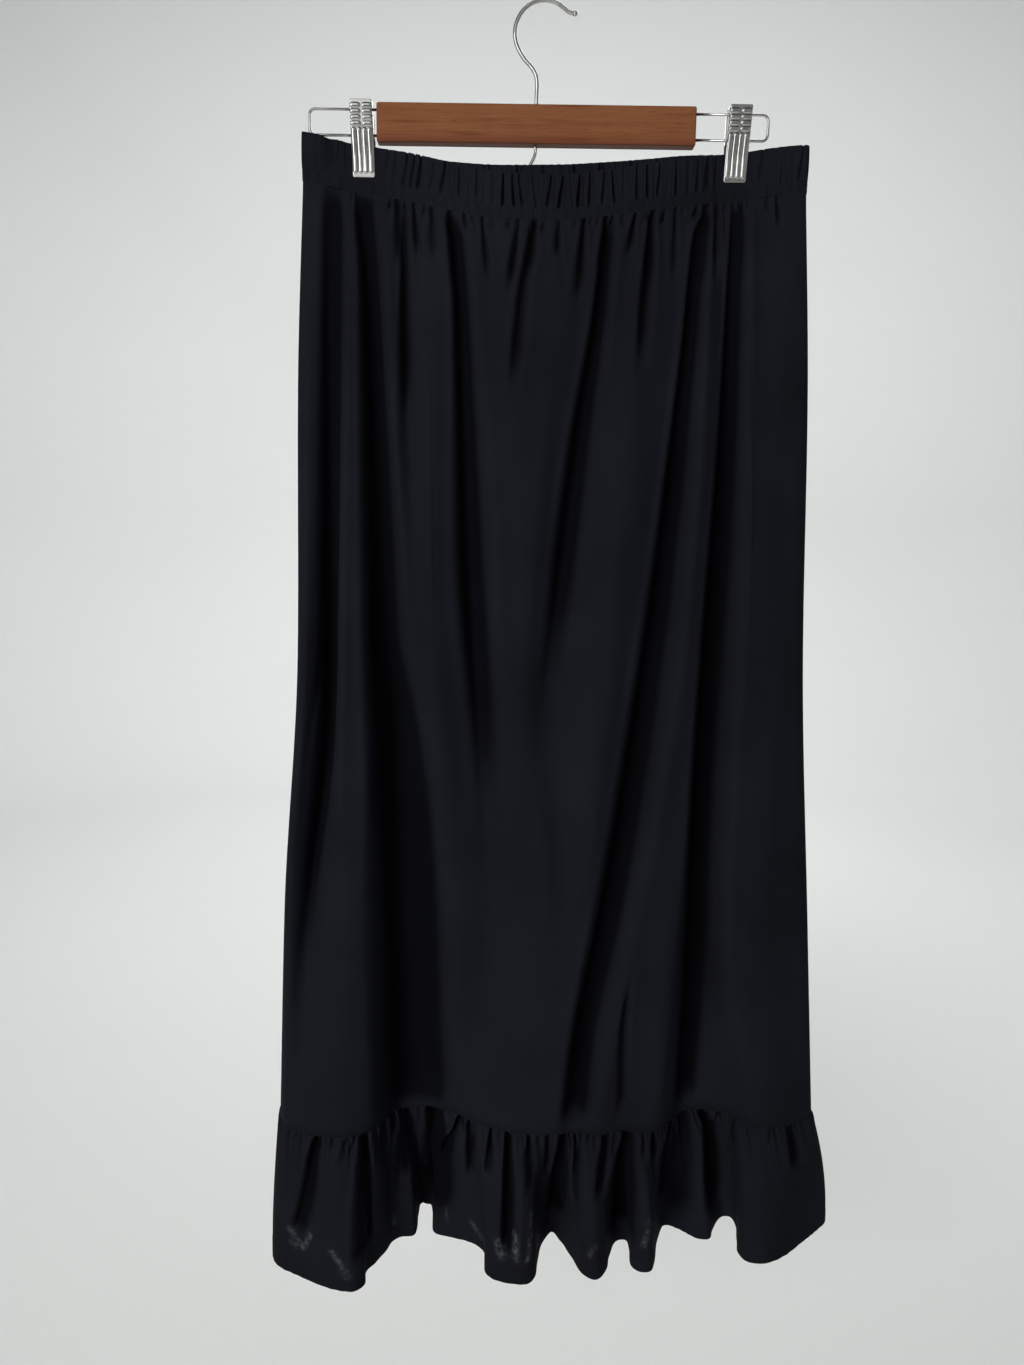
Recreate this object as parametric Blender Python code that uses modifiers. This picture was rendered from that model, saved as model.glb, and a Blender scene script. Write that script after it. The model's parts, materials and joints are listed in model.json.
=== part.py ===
"""Long jersey skirt with an elastic waistband and a gathered ruffle, clipped to a wooden hanger.

The origin is the inner top of the hanger's hook, where it rests on a wall hook. +Z is up, -Y faces
the viewer and +X is to the viewer's right. The tables are in millimetres, everything else in metres.
"""
import math
from collections import namedtuple

import bmesh
import bpy
from mathutils import Matrix, Vector

MM = 0.001

# Hanger: a wooden bar, two wire frames with sliding clips, a hook above and a small one below
BAR_LENGTH = 249 * MM
BAR_HEIGHT = 29 * MM
BAR_DEPTH = 12 * MM
BAR_ROUNDING = 1.5 * MM
BAR_CENTRE_X = -4 * MM
BAR_TOP_Z = -74.2 * MM
WIRE_RADIUS = 1.1 * MM
WIRE_HIGH_Z = -78.3 * MM
WIRE_LOW_Z = -97.3 * MM
WIRE_LEFT_X = -181.5 * MM
WIRE_RIGHT_X = 177.5 * MM
WIRE_CORNER = 4.5 * MM
WIRE_SEAT = 10 * MM
HOOK_RADIUS = 1.6 * MM
HOOK_BALL_RADIUS = 2.2 * MM
HOOK_SEAT = 11 * MM
LOWER_HOOK_RADIUS = 1.25 * MM
LOWER_HOOK_SEAT = 8 * MM
CLEARANCE = 0.3 * MM

# Clips: two stamped plates around the wires and the cloth, with a coil spring between them
CLIP_WIDTH = 18 * MM
CLIP_LENGTH = 55 * MM
CLIP_TOP_Z = -73.9 * MM
CLIP_SHEET = 0.9 * MM
CLIP_RIDGE = 0.9 * MM
CLIP_RIBS = 4
CLIP_RIB_END = 0.08
CLIP_RIB_START = 0.06
CLIP_PILLOW_ROWS = 4
CLIP_PILLOW_ZONE = 0.50
CLIP_ROW_SHARES = (0.56, 0.64, 0.78, 0.92, 1.0)
SPRING_RADIUS = 6.35 * MM
SPRING_WIRE = 0.55 * MM
SPRING_TURNS = 3
SPRING_PITCH = 3.0 * MM
SPRING_STEPS_A_TURN = 8

# Cloth
BAND_HEIGHT = 31.5 * MM
BAND_THICKNESS = 1.8 * MM
CLOTH_THICKNESS = 1.2 * MM
RUFFLE_THICKNESS = 1.0 * MM
SEAM_GAP = 0.5 * MM
SIDE_GAP = 0.35 * MM
SEAM_Z = -917 * MM
RUFFLE_LENGTH = 136 * MM
BAND_GATHER_DEPTH = 0.9 * MM
BAND_GATHERS_FRONT = 42
BAND_GATHERS_BACK = 30
RUFFLE_GATHER_DEPTH = 1.6 * MM
RUFFLE_GATHERS_FRONT = 46
RUFFLE_GATHERS_BACK = 28
BAND_GATHERS_EASE = 3
RUFFLE_GATHERS_EASE = 2
RUFFLE_SWING = 1.8
COLUMNS_A_GATHER = 3
COLUMNS_A_FOLD = 3
SIDE_SHARES = (0.2, 0.5)
LINE_STEPS = 12
CLIP_FLAT_HALF = 11
CLIP_EASE = 9
PANEL_ROWS = 11
RUFFLE_ROWS = 4
BAND_ROWS = 2

# Gathers are not all alike: waves along a seam, and how strongly each one shifts them
UNEVEN_WAVES = ((5, 0.22), (11, 0.20), (23, 0.16))

Point = namedtuple("Point", "x z")
HOOK_LINE = [
    Point(-4.1, -71.1),
    Point(-4.4, -53.8),
    Point(-7.5, -47.3),
    Point(-14.4, -40.0),
    Point(-19.8, -31.0),
    Point(-21.7, -22.8),
    Point(-20.5, -14.7),
    Point(-16.6, -7.3),
    Point(-11.3, -2.2),
    Point(-4.3, 1.0),
    Point(4.5, 1.4),
    Point(10.7, -0.4),
    Point(16.1, -3.9),
    Point(19.7, -6.4),
    Point(24.6, -7.6),
]
LOWER_HOOK_LINE = [
    Point(-4.7, -103.6),
    Point(-4.2, -107.2),
    Point(-5.4, -111.8),
    Point(-8.1, -117.1),
    Point(-11.6, -124.0),
    Point(-10.4, -131.5),
    Point(-4.0, -135.6),
    Point(3.6, -133.0),
    Point(6.6, -126.4),
]

# Clip centre line: x at its top and at its jaws
Clip = namedtuple("Clip", "name top_x jaw_x")
CLIPS = [
    Clip("clip_left", -140.3, -138.8),
    Clip("clip_right", 154.6, 152.6),
]

# Side profile of a clip plate, from its top to its jaws: half gap between the two plates
ClipRow = namedtuple("ClipRow", "down gap")
CLIP_PROFILE = [
    ClipRow(0, 8.6),
    ClipRow(10, 7.6),
    ClipRow(20, 6.4),
    ClipRow(27, 5.2),
    ClipRow(34, 3.6),
    ClipRow(42, 2.65),
    ClipRow(55, 2.5),
]
CLIP_FLANGE_END = 26
CLIP_FLANGE_LIP = 0.5 * MM

# Waistband: lower edge and depth of its front and back, from the left side to the right
BandRow = namedtuple("BandRow", "x front_z front_y back_z back_y")
BAND = [
    BandRow(-186.8, -127.0, -0.45, -127.0, 0.45),
    BandRow(-186.3, -127.2, -2.3, -127.2, 2.3),
    BandRow(-182.0, -128.0, -3.3, -128.0, 3.3),
    BandRow(-160.0, -133.0, -3.2, -133.0, 3.2),
    BandRow(-151.0, -134.8, -1.3, -134.8, 1.3),
    BandRow(-145.0, -135.6, -1.1, -135.5, 1.1),
    BandRow(-138.8, -136.4, -1.1, -136.2, 1.1),
    BandRow(-132.0, -137.2, -1.1, -136.9, 1.1),
    BandRow(-127.0, -138.2, -1.6, -137.6, 1.2),
    BandRow(-118.0, -140.4, -5.0, -139.2, 1.0),
    BandRow(-100.0, -144.8, -11.0, -142.6, -1.0),
    BandRow(-70.0, -152.0, -16.0, -148.0, -3.2),
    BandRow(-30.0, -158.6, -20.4, -150.4, -5.0),
    BandRow(12.0, -159.6, -21.6, -149.8, -5.6),
    BandRow(54.0, -155.4, -19.4, -147.0, -4.6),
    BandRow(84.0, -150.2, -15.6, -144.0, -3.2),
    BandRow(112.0, -145.2, -9.6, -140.6, -1.0),
    BandRow(131.0, -141.6, -4.6, -139.2, 1.0),
    BandRow(140.0, -139.9, -1.6, -138.9, 1.2),
    BandRow(146.0, -138.9, -1.1, -138.5, 1.1),
    BandRow(152.6, -138.2, -1.1, -138.0, 1.1),
    BandRow(159.0, -137.5, -1.1, -137.5, 1.1),
    BandRow(165.0, -136.8, -1.3, -136.8, 1.3),
    BandRow(174.0, -135.6, -3.0, -135.6, 3.0),
    BandRow(205.0, -132.2, -3.2, -132.2, 3.2),
    BandRow(208.9, -132.0, -2.3, -132.0, 2.3),
    BandRow(209.4, -132.0, -0.45, -132.0, 0.45),
]

# Folds of the body: x and y of each ridge and trough at five levels between the two seams
LEVELS = (0.0, 0.20, 0.48, 0.77, 1.0)
Fold = namedtuple("Fold", "name x0 x1 x2 x3 x4 y1 y2 y3 y4")
FRONT_FOLDS = [
    Fold("left side", -186.8, -194.4, -199.4, -213.4, -220.0, 3.0, 7.0, 11.0, 15.0),
    Fold("left turn", -185.6, -192.5, -197.6, -212.4, -217.0, -3.0, -2.0, -10.0, -22.0),
    Fold("edge ridge", -177.0, -184.0, -190.0, -205.0, -207.0, -8.0, -12.0, -26.0, -43.0),
    Fold("edge trough", -163.0, -165.5, -171.0, -189.0, -194.0, 4.0, 9.0, -19.0, -51.0),
    Fold("left ridge", -150.0, -152.0, -156.0, -157.0, -163.0, -18.0, -31.0, -45.0, -57.0),
    Fold("left ridge end", -144.0, -144.0, -141.0, -140.0, -135.0, -18.0, -29.0, -40.0, -48.0),
    Fold("left trough", -137.0, -128.0, -121.0, -114.0, -114.0, -8.0, -11.0, -11.0, -13.0),
    Fold("low trough", -121.0, -115.0, -102.0, -96.0, -98.0, -19.0, -29.0, -17.0, -8.0),
    Fold("short fold", -106.0, -104.0, -92.0, -84.0, -82.0, -14.0, -32.0, -32.0, -9.0),
    Fold("left crease", -88.0, -84.0, -80.0, -68.0, -60.0, -23.0, -35.0, -42.0, -20.0),
    Fold("middle fold", -66.0, -59.0, -48.0, -34.0, -38.0, -17.0, -25.0, -40.0, -35.0),
    Fold("centre left", -39.0, -36.0, -26.0, -10.0, -14.0, -27.0, -37.0, -46.0, -46.0),
    Fold("centre right", 19.0, 6.0, -6.0, 12.0, 6.0, -28.0, -38.0, -47.0, -49.0),
    Fold("slant fold", 50.0, 37.0, 14.0, 30.0, 20.0, -18.0, -28.0, -46.0, -49.0),
    Fold("slant ridge", 76.0, 72.0, 62.0, 46.0, 30.0, -27.0, -40.0, -46.0, -48.0),
    Fold("long slant", 122.0, 117.0, 98.0, 64.0, 42.0, -12.0, -20.0, -33.0, -45.0),
    Fold("right ridge", 134.0, 131.0, 121.0, 84.0, 62.0, -18.0, -33.0, -43.0, -48.0),
    Fold("low pucker", 139.0, 137.0, 128.0, 104.0, 84.0, -18.0, -33.0, -43.0, -42.0),
    Fold("right ridge end", 143.0, 142.0, 135.0, 124.0, 114.0, -16.0, -28.0, -40.0, -42.0),
    Fold("right trough", 149.0, 151.0, 146.0, 142.0, 144.0, -6.0, -8.0, -9.0, -9.0),
    Fold("right trough end", 154.0, 156.0, 153.0, 153.0, 174.0, -8.0, -11.0, -11.0, -10.0),
    Fold("right crease", 161.0, 167.0, 170.0, 173.0, 206.0, -18.0, -30.0, -34.0, -34.0),
    Fold("right flank", 186.0, 194.0, 203.0, 214.0, 238.0, -15.0, -22.0, -25.0, -26.0),
    Fold("right turn", 208.2, 218.6, 227.6, 244.0, 257.6, -4.0, -5.0, -8.0, -10.0),
    Fold("right side", 209.4, 220.4, 229.4, 246.4, 260.5, 3.0, 5.0, 6.0, 4.0),
]
BACK_FOLDS = [
    Fold("left side", -186.8, -194.4, -199.4, -213.4, -220.0, 3.0, 7.0, 11.0, 15.0),
    Fold("left turn", -185.8, -192.6, -197.0, -210.0, -215.0, 7.0, 15.0, 23.0, 28.0),
    Fold("left flank", -165.0, -170.0, -176.0, -188.0, -194.0, 9.5, 20.0, 31.0, 38.0),
    Fold("first fold", -132.0, -136.0, -142.0, -150.0, -154.0, 8.0, 17.0, 25.0, 29.0),
    Fold("first ridge", -100.0, -104.0, -108.0, -112.0, -116.0, 9.0, 22.0, 32.0, 38.0),
    Fold("second fold", -66.0, -68.0, -72.0, -74.0, -74.0, 7.0, 17.0, 25.0, 30.0),
    Fold("second ridge", -24.0, -26.0, -28.0, -32.0, -36.0, 8.5, 22.0, 33.0, 39.0),
    Fold("third fold", 14.0, 14.0, 12.0, 10.0, 8.0, 7.0, 17.0, 26.0, 31.0),
    Fold("third ridge", 52.0, 54.0, 56.0, 58.0, 58.0, 9.0, 22.0, 32.0, 38.0),
    Fold("fourth fold", 92.0, 96.0, 100.0, 102.0, 104.0, 7.0, 17.0, 25.0, 28.0),
    Fold("fourth ridge", 128.0, 134.0, 140.0, 146.0, 150.0, 9.0, 21.0, 31.0, 36.0),
    Fold("fifth fold", 164.0, 172.0, 180.0, 188.0, 194.0, 8.5, 18.0, 26.0, 29.0),
    Fold("right turn", 207.6, 216.6, 224.6, 238.0, 250.0, 7.0, 14.0, 21.0, 24.0),
    Fold("right side", 209.4, 220.4, 229.4, 246.4, 260.5, 3.0, 5.0, 6.0, 4.0),
]

# Hem of the ruffle seen from below, left to right
HemPoint = namedtuple("HemPoint", "x y")
FRONT_HEM = [
    HemPoint(-230, 12),
    HemPoint(-228, -22),
    HemPoint(-211, -54),
    HemPoint(-183, -68),
    HemPoint(-150, -82),
    HemPoint(-137, -71),
    HemPoint(-137, -50),
    HemPoint(-127, -27),
    HemPoint(-114, -9),
    HemPoint(-101, -9),
    HemPoint(-97, 12),
    HemPoint(-91, 33),
    HemPoint(-86, 18),
    HemPoint(-80, -6),
    HemPoint(-62, -17),
    HemPoint(-42, -23),
    HemPoint(-35, -46),
    HemPoint(-23, -62),
    HemPoint(-4, -68),
    HemPoint(11, -57),
    HemPoint(16, -28),
    HemPoint(30, -8),
    HemPoint(45, -29),
    HemPoint(52, -48),
    HemPoint(63, -60),
    HemPoint(75, -44),
    HemPoint(82, -24),
    HemPoint(92, -16),
    HemPoint(98, -36),
    HemPoint(109, -50),
    HemPoint(119, -36),
    HemPoint(128, -4),
    HemPoint(138, 8),
    HemPoint(150, -3),
    HemPoint(166, -10),
    HemPoint(178, 4),
    HemPoint(192, 22),
    HemPoint(202, 10),
    HemPoint(199, -14),
    HemPoint(206, -34),
    HemPoint(222, -34),
    HemPoint(238, -19),
    HemPoint(262, 0),
    HemPoint(282, 13),
    HemPoint(289, 24),
]
BACK_HEM = [
    HemPoint(-230, 12),
    HemPoint(-228, 34),
    HemPoint(-214, 52),
    HemPoint(-196, 60),
    HemPoint(-176, 47),
    HemPoint(-150, 42),
    HemPoint(-130, 58),
    HemPoint(-108, 55),
    HemPoint(-92, 43),
    HemPoint(-66, 46),
    HemPoint(-46, 61),
    HemPoint(-24, 56),
    HemPoint(-8, 43),
    HemPoint(16, 45),
    HemPoint(36, 60),
    HemPoint(58, 57),
    HemPoint(76, 44),
    HemPoint(100, 43),
    HemPoint(120, 59),
    HemPoint(142, 56),
    HemPoint(160, 44),
    HemPoint(184, 43),
    HemPoint(204, 57),
    HemPoint(228, 54),
    HemPoint(250, 42),
    HemPoint(276, 40),
    HemPoint(289, 24),
]


def material(name, colour, roughness, metallic=0.0):
    """Principled material with a plain colour."""
    made = bpy.data.materials.new(name)
    made.use_nodes = True
    made.diffuse_color = (*colour, 1.0)
    shader = made.node_tree.nodes["Principled BSDF"]
    shader.inputs["Base Color"].default_value = (*colour, 1.0)
    shader.inputs["Roughness"].default_value = roughness
    shader.inputs["Metallic"].default_value = metallic
    return made


def steady_curve(x, xs, ys):
    """Smooth curve through a table that never overshoots its rows."""
    steps = [b - a for a, b in zip(xs, xs[1:])]
    slopes = [(b - a) / h for a, b, h in zip(ys, ys[1:], steps)]
    tangents = [slopes[0]]
    for before, after in zip(slopes, slopes[1:]):
        tangents.append(0.0 if before * after <= 0 else 2 * before * after / (before + after))
    tangents.append(slopes[-1])
    row = 0
    while row < len(steps) - 1 and x > xs[row + 1]:
        row += 1
    h = steps[row]
    u = min(max((x - xs[row]) / h, 0.0), 1.0)
    start = (1 + 2 * u) * (1 - u) ** 2 * ys[row] + u * (1 - u) ** 2 * h * tangents[row]
    return start + u * u * (3 - 2 * u) * ys[row + 1] - u * u * (1 - u) * h * tangents[row + 1]


def turned_end(end, inner):
    """Guide point that makes a section leave its end straight along Y."""
    guide = inner.copy()
    guide.y = 2 * end.y - inner.y
    return guide


def flowing_curve(points, steps_each, turned=True):
    """Points along a centripetal spline through the given points, steps_each to a span."""
    points = [Vector(p) for p in points]
    first = turned_end(points[0], points[1]) if turned else points[0] * 2 - points[1]
    last = turned_end(points[-1], points[-2]) if turned else points[-1] * 2 - points[-2]
    padded = [first, *points, last]
    line = []
    for i in range(len(points) - 1):
        a, b, c, d = padded[i:i + 4]
        ta = 0.0
        tb = ta + math.sqrt((b - a).length)
        tc = tb + math.sqrt((c - b).length)
        td = tc + math.sqrt((d - c).length)
        for step in range(steps_each):
            t = tb + (tc - tb) * step / steps_each
            ab = a.lerp(b, (t - ta) / (tb - ta))
            bc = b.lerp(c, (t - tb) / (tc - tb))
            cd = c.lerp(d, (t - tc) / (td - tc))
            abc = ab.lerp(bc, (t - ta) / (tc - ta))
            bcd = bc.lerp(cd, (t - tb) / (td - tb))
            line.append(abc.lerp(bcd, (t - tb) / (tc - tb)))
    line.append(points[-1])
    return line


def spread(line, fractions):
    """Points at the given fractions of a line's length."""
    lengths = [0.0]
    for a, b in zip(line, line[1:]):
        lengths.append(lengths[-1] + (b - a).length)
    found = []
    span = 0
    for fraction in fractions:
        target = fraction * lengths[-1]
        while span < len(line) - 2 and lengths[span + 1] < target:
            span += 1
        part = (target - lengths[span]) / (lengths[span + 1] - lengths[span])
        found.append(line[span].lerp(line[span + 1], min(max(part, 0.0), 1.0)))
    return found


def uneven(fraction):
    """Shifts evenly spaced gathers a little, so that no two are alike."""
    shift = 0.0
    for waves, share in UNEVEN_WAVES:
        shift += share * math.sin(2 * math.pi * waves * fraction) / (2 * math.pi * waves)
    return fraction + shift


def gather_steps(gathers):
    """Even steps over a number of gathers, closer together where the cloth turns at its sides."""
    columns = gathers * COLUMNS_A_GATHER
    steps = [i / columns for i in range(columns + 1)]
    close = [share / columns for share in SIDE_SHARES]
    return [0.0, *close, *steps[1:-1], *(1 - step for step in reversed(close)), 1.0]


def normals_of(line):
    """Unit normals of a flat line, on its left side."""
    found = []
    for i in range(len(line)):
        along = line[min(i + 1, len(line) - 1)] - line[max(i - 1, 0)]
        found.append(Vector((-along.y, along.x)).normalized())
    return found


def cloth_sheet(name, points, thickness, finish, parent):
    """Cloth wall of even thickness over rows of points, each row running left to right."""
    rows = len(points) - 1
    columns = len(points[0]) - 1
    mesh = bpy.data.meshes.new(name)
    bm = bmesh.new()
    bmesh.ops.create_grid(bm, x_segments=columns, y_segments=rows, size=0.5)
    for vertex in bm.verts:
        column = round((vertex.co.x + 0.5) * columns)
        row = round((0.5 - vertex.co.y) * rows)
        vertex.co = points[row][column]
    bm.to_mesh(mesh)
    bm.free()
    mesh.materials.append(finish)
    mesh.shade_smooth()
    sheet = bpy.data.objects.new(name, mesh)
    shell = sheet.modifiers.new("wall", "SOLIDIFY")
    shell.thickness = thickness
    shell.offset = 0.0
    return place(sheet, parent)


def place(thing, parent):
    """Puts an object into the part's collection, under its parent."""
    PART.objects.link(thing)
    thing.parent = parent
    return thing


def clip_share(x):
    """0 where a clip presses the band flat, rising to 1 beside it."""
    share = 1.0
    for clip in CLIPS:
        away = (abs(x / MM - clip.jaw_x) - CLIP_FLAT_HALF) / CLIP_EASE
        share = min(share, max(away, 0.0))
    return share * share * (3 - 2 * share)


def band_line(front, fractions):
    """Lower edge of the waistband as flat points and its height, at fractions of its length."""
    flat = [(row.x * MM, (row.front_y if front else row.back_y) * MM) for row in BAND]
    points = spread(flowing_curve(flat, LINE_STEPS), fractions)
    return points, [band_height(point.x, front) for point in points]


def waistband(name, front, gathers, finish, parent):
    """Elastic waistband with its gathers, flat under the clips."""
    steps = gather_steps(gathers)
    flat, heights = band_line(front, [uneven(step) for step in steps])
    ripples = []
    for step, point, normal in zip(steps, flat, normals_of(flat)):
        from_side = min(step, 1 - step) * gathers
        depth = BAND_GATHER_DEPTH * clip_share(point.x) * min(from_side / BAND_GATHERS_EASE, 1.0)
        ripples.append(point + normal * depth * math.cos(2 * math.pi * gathers * step))
    rows = []
    for row in range(BAND_ROWS + 1):
        up = BAND_HEIGHT * (1 - row / BAND_ROWS)
        rows.append([(p.x, p.y, z + up) for p, z in zip(ripples, heights)])
    return cloth_sheet(name, rows, BAND_THICKNESS, finish, parent)


def band_height(x, front):
    """Height of the waistband's lower edge at x."""
    heights = [row.front_z if front else row.back_z for row in BAND]
    return steady_curve(x / MM, [row.x for row in BAND], heights) * MM


def panel_section(folds, front, level):
    """Ridges and troughs of a body panel at one level, as flat points from side to side."""
    band_x = [row.x for row in BAND]
    band_y = [row.front_y if front else row.back_y for row in BAND]
    side_gap = -SIDE_GAP if front else SIDE_GAP
    points = []
    for fold in folds:
        at_side = fold in (folds[0], folds[-1])
        x = steady_curve(level, LEVELS, (fold.x0, fold.x1, fold.x2, fold.x3, fold.x4))
        top_y = 0.0 if at_side else steady_curve(fold.x0, band_x, band_y)
        y = steady_curve(level, LEVELS, (top_y, fold.y1, fold.y2, fold.y3, fold.y4))
        points.append((x * MM, y * MM + side_gap * at_side))
    return points


def panel(name, folds, front, finish, parent):
    """Front or back of the skirt's body, hanging in folds from the waistband."""
    top = flowing_curve(panel_section(folds, front, 0.0), COLUMNS_A_FOLD)
    top_z = [band_height(point.x, front) - SEAM_GAP for point in top]
    rows = []
    for row in range(PANEL_ROWS + 1):
        level = row / PANEL_ROWS
        section = flowing_curve(panel_section(folds, front, level), COLUMNS_A_FOLD)
        rows.append([(p.x, p.y, z + (SEAM_Z - z) * level) for p, z in zip(section, top_z)])
    return cloth_sheet(name, rows, CLOTH_THICKNESS, finish, parent)


def ruffle(name, folds, front, hem, gathers, finish, parent):
    """Gathered strip below the body, its fine gathers opening into the waves of the hem."""
    steps = gather_steps(gathers)
    fractions = [uneven(step) for step in steps]
    seam = spread(flowing_curve(panel_section(folds, front, 1.0), LINE_STEPS), fractions)
    side = -SIDE_GAP if front else SIDE_GAP
    edge = [(p.x * MM, p.y * MM + side * (p in (hem[0], hem[-1]))) for p in hem]
    waves = spread(flowing_curve(edge, LINE_STEPS), fractions)
    normals = normals_of(seam)
    rows = []
    for row in range(RUFFLE_ROWS + 1):
        down = row / RUFFLE_ROWS
        swing = 1 - (1 - down) ** RUFFLE_SWING
        line = []
        for step, top, low, normal in zip(steps, seam, waves, normals):
            drop = math.sqrt(RUFFLE_LENGTH ** 2 - (low - top).length_squared)
            from_side = min(step, 1 - step) * gathers
            depth = RUFFLE_GATHER_DEPTH * (1 - down) ** 2 * min(from_side / RUFFLE_GATHERS_EASE, 1.0)
            ripple = math.cos(2 * math.pi * gathers * step)
            flat = top.lerp(low, swing) + normal * depth * ripple
            line.append((flat.x, flat.y, SEAM_Z - SEAM_GAP - drop * down))
        rows.append(line)
    return cloth_sheet(name, rows, RUFFLE_THICKNESS, finish, parent)


def wire(name, points, radius, finish, parent, resolution=2):
    """Round wire along a line of points, made a closed mesh."""
    curve = bpy.data.curves.new(name, "CURVE")
    curve.dimensions = "3D"
    curve.bevel_depth = radius
    curve.bevel_resolution = resolution
    curve.use_fill_caps = True
    spline = curve.splines.new("POLY")
    spline.points.add(len(points) - 1)
    for target, point in zip(spline.points, points):
        target.co = (*point, 1.0)
    guide = bpy.data.objects.new(name + "_line", curve)
    PART.objects.link(guide)
    bpy.context.view_layer.update()
    graph = bpy.context.evaluated_depsgraph_get()
    mesh = bpy.data.meshes.new_from_object(guide.evaluated_get(graph))
    bpy.data.objects.remove(guide)
    bm = bmesh.new()
    bm.from_mesh(mesh)
    bmesh.ops.remove_doubles(bm, verts=bm.verts, dist=0.00001)
    bmesh.ops.recalc_face_normals(bm, faces=bm.faces)
    bm.to_mesh(mesh)
    bm.free()
    mesh.name = name
    mesh.materials.clear()
    mesh.materials.append(finish)
    mesh.shade_smooth()
    return place(bpy.data.objects.new(name, mesh), parent)


def upright_line(table, steps_each):
    """Smooth line in the hanger's plane through a table of points."""
    line = flowing_curve([(q.x * MM, q.z * MM) for q in table], steps_each, turned=False)
    return [(p.x, 0.0, p.y) for p in line]


def cutter(name, radius, start, end):
    """Round drill from start to end, kept out of the part."""
    start = Vector(start)
    end = Vector(end)
    mesh = bpy.data.meshes.new(name)
    bm = bmesh.new()
    turn = (end - start).to_track_quat("Z", "Y").to_matrix().to_4x4()
    spot = Matrix.Translation((start + end) / 2) @ turn
    bmesh.ops.create_cone(bm, cap_ends=True, segments=12, radius1=radius, radius2=radius,
                          depth=(end - start).length, matrix=spot)
    bm.to_mesh(mesh)
    bm.free()
    drill = bpy.data.objects.new(name, mesh)
    drill.hide_render = True
    drill.display_type = "WIRE"
    TOOLS.objects.link(drill)
    return drill


def hanger_bar(finish, parent):
    """Wooden bar with rounded edges, drilled for the two wire frames and the two hooks."""
    mesh = bpy.data.meshes.new("hanger_bar")
    bm = bmesh.new()
    bmesh.ops.create_cube(bm, size=1.0, matrix=Matrix.Diagonal((BAR_LENGTH, BAR_DEPTH, BAR_HEIGHT, 1.0)))
    bm.to_mesh(mesh)
    bm.free()
    mesh.materials.append(finish)
    mesh.shade_smooth()
    mesh.set_sharp_from_angle(angle=math.radians(35))
    bar = place(bpy.data.objects.new("hanger_bar", mesh), parent)
    bar.location = (BAR_CENTRE_X, 0.0, BAR_TOP_Z - BAR_HEIGHT / 2)
    edges = bar.modifiers.new("rounded edges", "BEVEL")
    edges.width = BAR_ROUNDING
    edges.segments = 2
    left = BAR_CENTRE_X - BAR_LENGTH / 2
    right = BAR_CENTRE_X + BAR_LENGTH / 2
    bottom = BAR_TOP_Z - BAR_HEIGHT
    reach = 2 * MM
    drills = []
    for z in (WIRE_HIGH_Z, WIRE_LOW_Z):
        radius = WIRE_RADIUS + CLEARANCE
        deep = WIRE_SEAT + CLEARANCE
        drills.append(cutter("drill_left", radius, (left - reach, 0, z), (left + deep, 0, z)))
        drills.append(cutter("drill_right", radius, (right - deep, 0, z), (right + reach, 0, z)))
    hook_x = HOOK_LINE[0].x * MM
    hook_deep = BAR_TOP_Z - HOOK_SEAT - CLEARANCE
    drills.append(cutter("drill_hook", HOOK_RADIUS + CLEARANCE,
                         (hook_x, 0, hook_deep), (hook_x, 0, BAR_TOP_Z + reach)))
    lower_x = LOWER_HOOK_LINE[0].x * MM
    lower_deep = bottom + LOWER_HOOK_SEAT + CLEARANCE
    drills.append(cutter("drill_lower_hook", LOWER_HOOK_RADIUS + CLEARANCE,
                         (lower_x, 0, bottom - reach), (lower_x, 0, lower_deep)))
    for drill in drills:
        hole = bar.modifiers.new(drill.name, "BOOLEAN")
        hole.operation = "DIFFERENCE"
        hole.solver = "EXACT"
        hole.object = drill
    return bar


def hanger_hook(finish, parent):
    """Hook above the bar, ending in a small ball."""
    line = upright_line(HOOK_LINE, 2)
    foot = (line[0][0], 0.0, BAR_TOP_Z - HOOK_SEAT)
    hook = wire("hanger_hook", [foot, *line], HOOK_RADIUS, finish, parent)
    mesh = bpy.data.meshes.new("hook_ball")
    bm = bmesh.new()
    bmesh.ops.create_uvsphere(bm, u_segments=12, v_segments=8, radius=HOOK_BALL_RADIUS,
                              matrix=Matrix.Translation(line[-1]))
    bm.to_mesh(mesh)
    bm.free()
    ball = bpy.data.objects.new("hook_ball", mesh)
    ball.hide_render = True
    ball.display_type = "WIRE"
    TOOLS.objects.link(ball)
    joined = hook.modifiers.new("ball", "BOOLEAN")
    joined.operation = "UNION"
    joined.solver = "EXACT"
    joined.object = ball
    return hook


def lower_hook(finish, parent):
    """Small hook below the bar, for hanging another hanger."""
    line = upright_line(LOWER_HOOK_LINE, 2)
    foot = (line[0][0], 0.0, BAR_TOP_Z - BAR_HEIGHT + LOWER_HOOK_SEAT)
    return wire("lower_hook", [foot, *line], LOWER_HOOK_RADIUS, finish, parent)


def wire_frame(name, side, finish, parent):
    """Wire loop beside the bar, both of its ends seated in the bar."""
    seat_x = BAR_CENTRE_X + side * (BAR_LENGTH / 2 - WIRE_SEAT)
    end_x = WIRE_RIGHT_X if side > 0 else WIRE_LEFT_X
    points = [(seat_x, 0.0, WIRE_HIGH_Z)]
    for z, start in ((WIRE_HIGH_Z - WIRE_CORNER, 90), (WIRE_LOW_Z + WIRE_CORNER, 0)):
        for step in range(5):
            angle = math.radians(start - 90 * step / 4)
            x = end_x - side * WIRE_CORNER * (1 - math.cos(angle))
            points.append((x, 0.0, z + WIRE_CORNER * math.sin(angle)))
    points.append((seat_x, 0.0, WIRE_LOW_Z))
    return wire(name, points, WIRE_RADIUS, finish, parent)


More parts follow.
